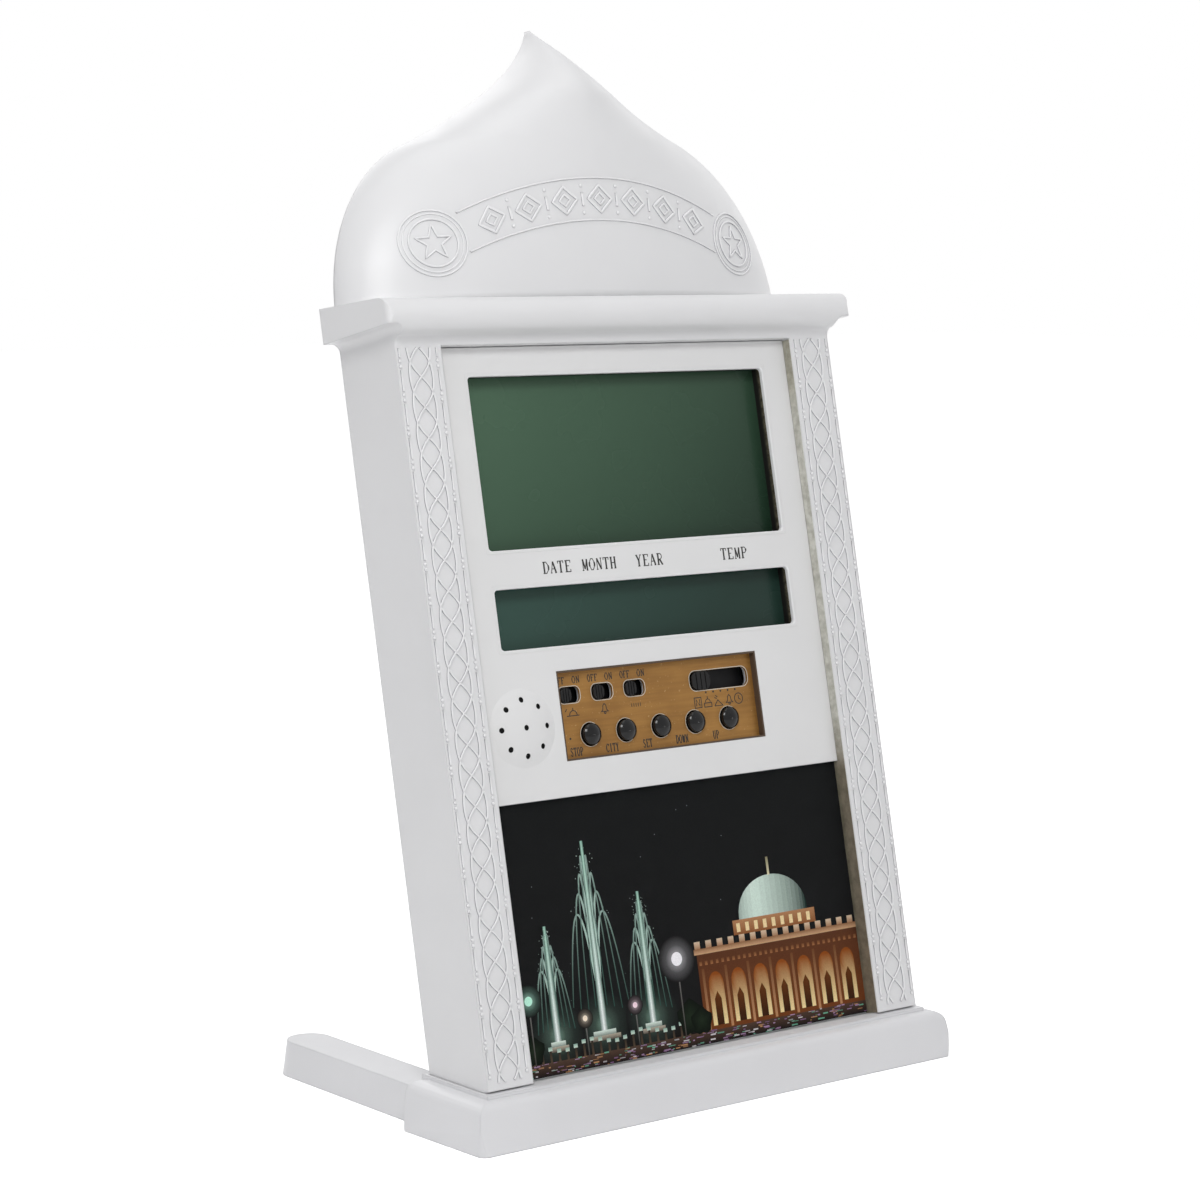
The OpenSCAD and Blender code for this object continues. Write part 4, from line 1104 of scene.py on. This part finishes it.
    # arcade on the right: a warm lit wall with arches, a cornice and a low drum with a dome
    left, foot, top, sill = 62.0, 3.0, 24.0, 4.5
    rect(left, foot, wide - left, top - foot, lin(122, 66, 36), lin(96, 58, 40))
    rect(left - 0.8, top, wide - left + 0.8, 1.5, lin(214, 168, 130), lin(150, 104, 76))
    layer()
    for k in range(15):
        rect(left - 0.4 + 4.0 * k, top + 1.5, 2.0, 2.0, lin(176, 128, 96), lin(224, 196, 170))
    rect(left + 14, top + 3.5, 30, 4.0, lin(150, 92, 58), lin(188, 134, 96))
    drum_top = top + 7.5
    dome = [(left + 29 + 12.5 * math.cos(t), drum_top + 11.0 * math.sin(t) ** 0.9)
            for t in (k * math.pi / 20 for k in range(21))]
    for k, (a, b) in enumerate(zip(dome, dome[1:])):
        shade = blend(lin(226, 240, 230), lin(34, 52, 48), min(1.0, abs(k / 19 - 0.66) * 1.7))
        poly([a, b, (b[0], drum_top), (a[0], drum_top)], shade)
    layer()
    rect(left + 28.6, top + 18.3, 0.8, 5.0, lin(226, 214, 180), lin(150, 140, 110))
    for k in range(9):
        rect(left + 15.2 + 3.2 * k, top + 4.2, 1.3, 2.4, lin(250, 220, 170))
    layer()
    for k in range(7):
        u, w, h = left + 3.0 + 8.0 * k, 5.2, 11.0
        arch = [(u + w / 2 * (1 + math.cos(t)), sill + h + 3.4 * math.sin(t))
                for t in (i * math.pi / 10 for i in range(11))]
        poly([(u, sill), (u + w, sill)] + arch, (lin(255, 226, 168),) * 2 + (lin(150, 78, 34),) * 11)
        layer()
        poly([(u + 1.4, sill), (u + w - 1.4, sill), (u + w - 1.4, 11.5), (u + w / 2, 13.6), (u + 1.4, 11.5)],
             (lin(60, 34, 22), lin(60, 34, 22), lin(96, 52, 26), lin(110, 60, 30), lin(96, 52, 26)))
        rect(u - 1.9, 3.6, 0.9, 16.5, lin(196, 140, 100), lin(120, 74, 48))
    layer()
    for k in range(30):
        rect(left + 0.6 + 1.95 * k, top - 3.0, 0.9, 1.1, lin(170, 110, 72), lin(120, 76, 50))
    # terrace and water along the bottom, with broken reflections
    rect(0, 0, wide, 3.4, lin(34, 28, 30), lin(88, 66, 56))
    layer()
    glints = (lin(190, 150, 190), lin(236, 226, 230), lin(206, 150, 104), lin(120, 190, 160), lin(150, 110, 150))
    for _ in range(230):
        u, v = rng.uniform(0, wide), rng.uniform(0.0, 3.2)
        tone = rng.choice(glints)
        rect(u, v, rng.uniform(0.4, 2.4), rng.uniform(0.12, 0.4), blend(tone, lin(70, 54, 54), rng.uniform(0.0, 0.5)))
    layer()
    # low posts with pale heads
    for k in range(22):
        u, h = 1.0 + 2.75 * k, 3.0 + 0.8 * math.sin(k)
        rect(u, 3.2, 0.7, h, lin(92, 74, 60), lin(60, 52, 46))
        rect(u - 0.3, 3.2 + h, 1.3, 1.0, lin(214, 226, 214), lin(150, 180, 168))
    layer()
    # dark round trees in front of the wall's end and on the left
    for u, v, r in ((57.5, 8.0, 4.6), (61.0, 6.5, 3.6), (4.0, 7.0, 3.8)):
        crown = [polar(u, v, r * (1 + 0.12 * math.sin(5 * t)), t) for t in (k * math.pi / 8 for k in range(17))]
        for a, b in zip(crown, crown[1:]):
            poly([(u, v), a, b], (lin(34, 44, 32), lin(18, 22, 18), lin(18, 22, 18)))
        layer()
    # lamps with their halos
    for u, v, r, core, rim in ((55.0, 24.0, 6.2, lin(255, 250, 255), dusk),
                               (4.5, 20.0, 4.2, lin(200, 255, 232), lin(30, 31, 31)),
                               (22.0, 13.0, 2.6, lin(255, 236, 214), lin(32, 30, 30)),
                               (39.0, 14.0, 2.6, lin(255, 226, 236), lin(32, 30, 30))):
        rect(u - 0.2, 3.0, 0.4, v - 3.0, lin(70, 66, 62), lin(120, 118, 116))
        layer()
        glow(u, v, r, core, rim, 0.3 * r)
        layer()
    s.build("picture_print", [PAINT], smooth=False, replaces=("picture_card",))


picture()


# -------- stage and lights
def seen_rays(tree):
    """Socket that is 1 for camera, glossy and transmission rays, to which the studio is plain white."""
    path = tree.nodes.new("ShaderNodeLightPath")
    sock = path.outputs["Is Camera Ray"]
    for name in ("Is Glossy Ray", "Is Transmission Ray"):
        m = tree.nodes.new("ShaderNodeMath")
        m.operation = "MAXIMUM"
        tree.links.new(sock, m.inputs[0])
        tree.links.new(path.outputs[name], m.inputs[1])
        sock = m.outputs[0]
    return sock


def stage_plane():
    """White floor, with a glow of its own for the rays that see it."""
    mesh = bpy.data.meshes.new("floor")
    half = 6.0
    mesh.from_pydata([(-half, -half, 0), (half, -half, 0), (half, half, 0), (-half, half, 0)], [], [(0, 1, 2, 3)])
    obj = bpy.data.objects.new("floor", mesh)
    bpy.context.scene.collection.objects.link(obj)
    m = Mat("floor_white")
    m.tree.nodes.remove(m.shader)
    plain, glowing = m.node("ShaderNodeBsdfDiffuse"), m.node("ShaderNodeEmission")
    plain.inputs[0].default_value = (0.92, 0.92, 0.92, 1.0)
    m.link(m.calc("MULTIPLY", seen_rays(m.tree), 0.68), glowing.inputs["Strength"])
    add = m.node("ShaderNodeAddShader")
    m.link(plain.outputs[0], add.inputs[0])
    m.link(glowing.outputs[0], add.inputs[1])
    m.link(add.outputs[0], m.out.inputs[0])
    mesh.materials.append(m.mat)


stage_plane()


def area(name, loc, target, size, power):
    data = bpy.data.lights.new(name, "AREA")
    data.shape = "RECTANGLE"
    data.size, data.size_y = size
    data.energy = power
    obj = bpy.data.objects.new(name, data)
    obj.location = loc
    obj.rotation_euler = (Vector(target) - Vector(loc)).to_track_quat("-Z", "Y").to_euler()
    bpy.context.scene.collection.objects.link(obj)


area("key_near", (-0.40, -0.45, 0.65), (0, 0, 0.16), (0.25, 0.25), 2.55)
area("glint", (0.63, -1.23, 0.17), (0, 0, 0.12), (0.06, 0.08), 0.35)
area("top_soft", (-0.1, -0.1, 1.6), (0, 0, 0.15), (1.0, 1.0), 4.2)
area("back_fill", (0.1, 1.2, 0.9), (0, 0, 0.15), (1.0, 0.8), 3.1)
area("side_fill", (1.25, 0.35, 0.6), (0, 0, 0.15), (0.8, 0.8), 1.35)


def studio():
    """Soft grey light from all round; the rays that see it directly see white."""
    data = bpy.data.worlds.new("studio")
    data.use_nodes = True
    tree = data.node_tree
    tree.nodes.clear()
    mix = tree.nodes.new("ShaderNodeMixShader")
    tree.links.new(seen_rays(tree), mix.inputs[0])
    for k, tone, strength in ((1, (0.80, 0.80, 0.81, 1.0), 0.54), (2, (1.0, 1.0, 1.0, 1.0), 1.0)):
        back = tree.nodes.new("ShaderNodeBackground")
        back.inputs[0].default_value = tone
        back.inputs[1].default_value = strength
        tree.links.new(back.outputs[0], mix.inputs[k])
    tree.links.new(mix.outputs[0], tree.nodes.new("ShaderNodeOutputWorld").inputs[0])
    bpy.context.scene.world = data


studio()
bpy.context.scene.view_settings.view_transform = "Standard"
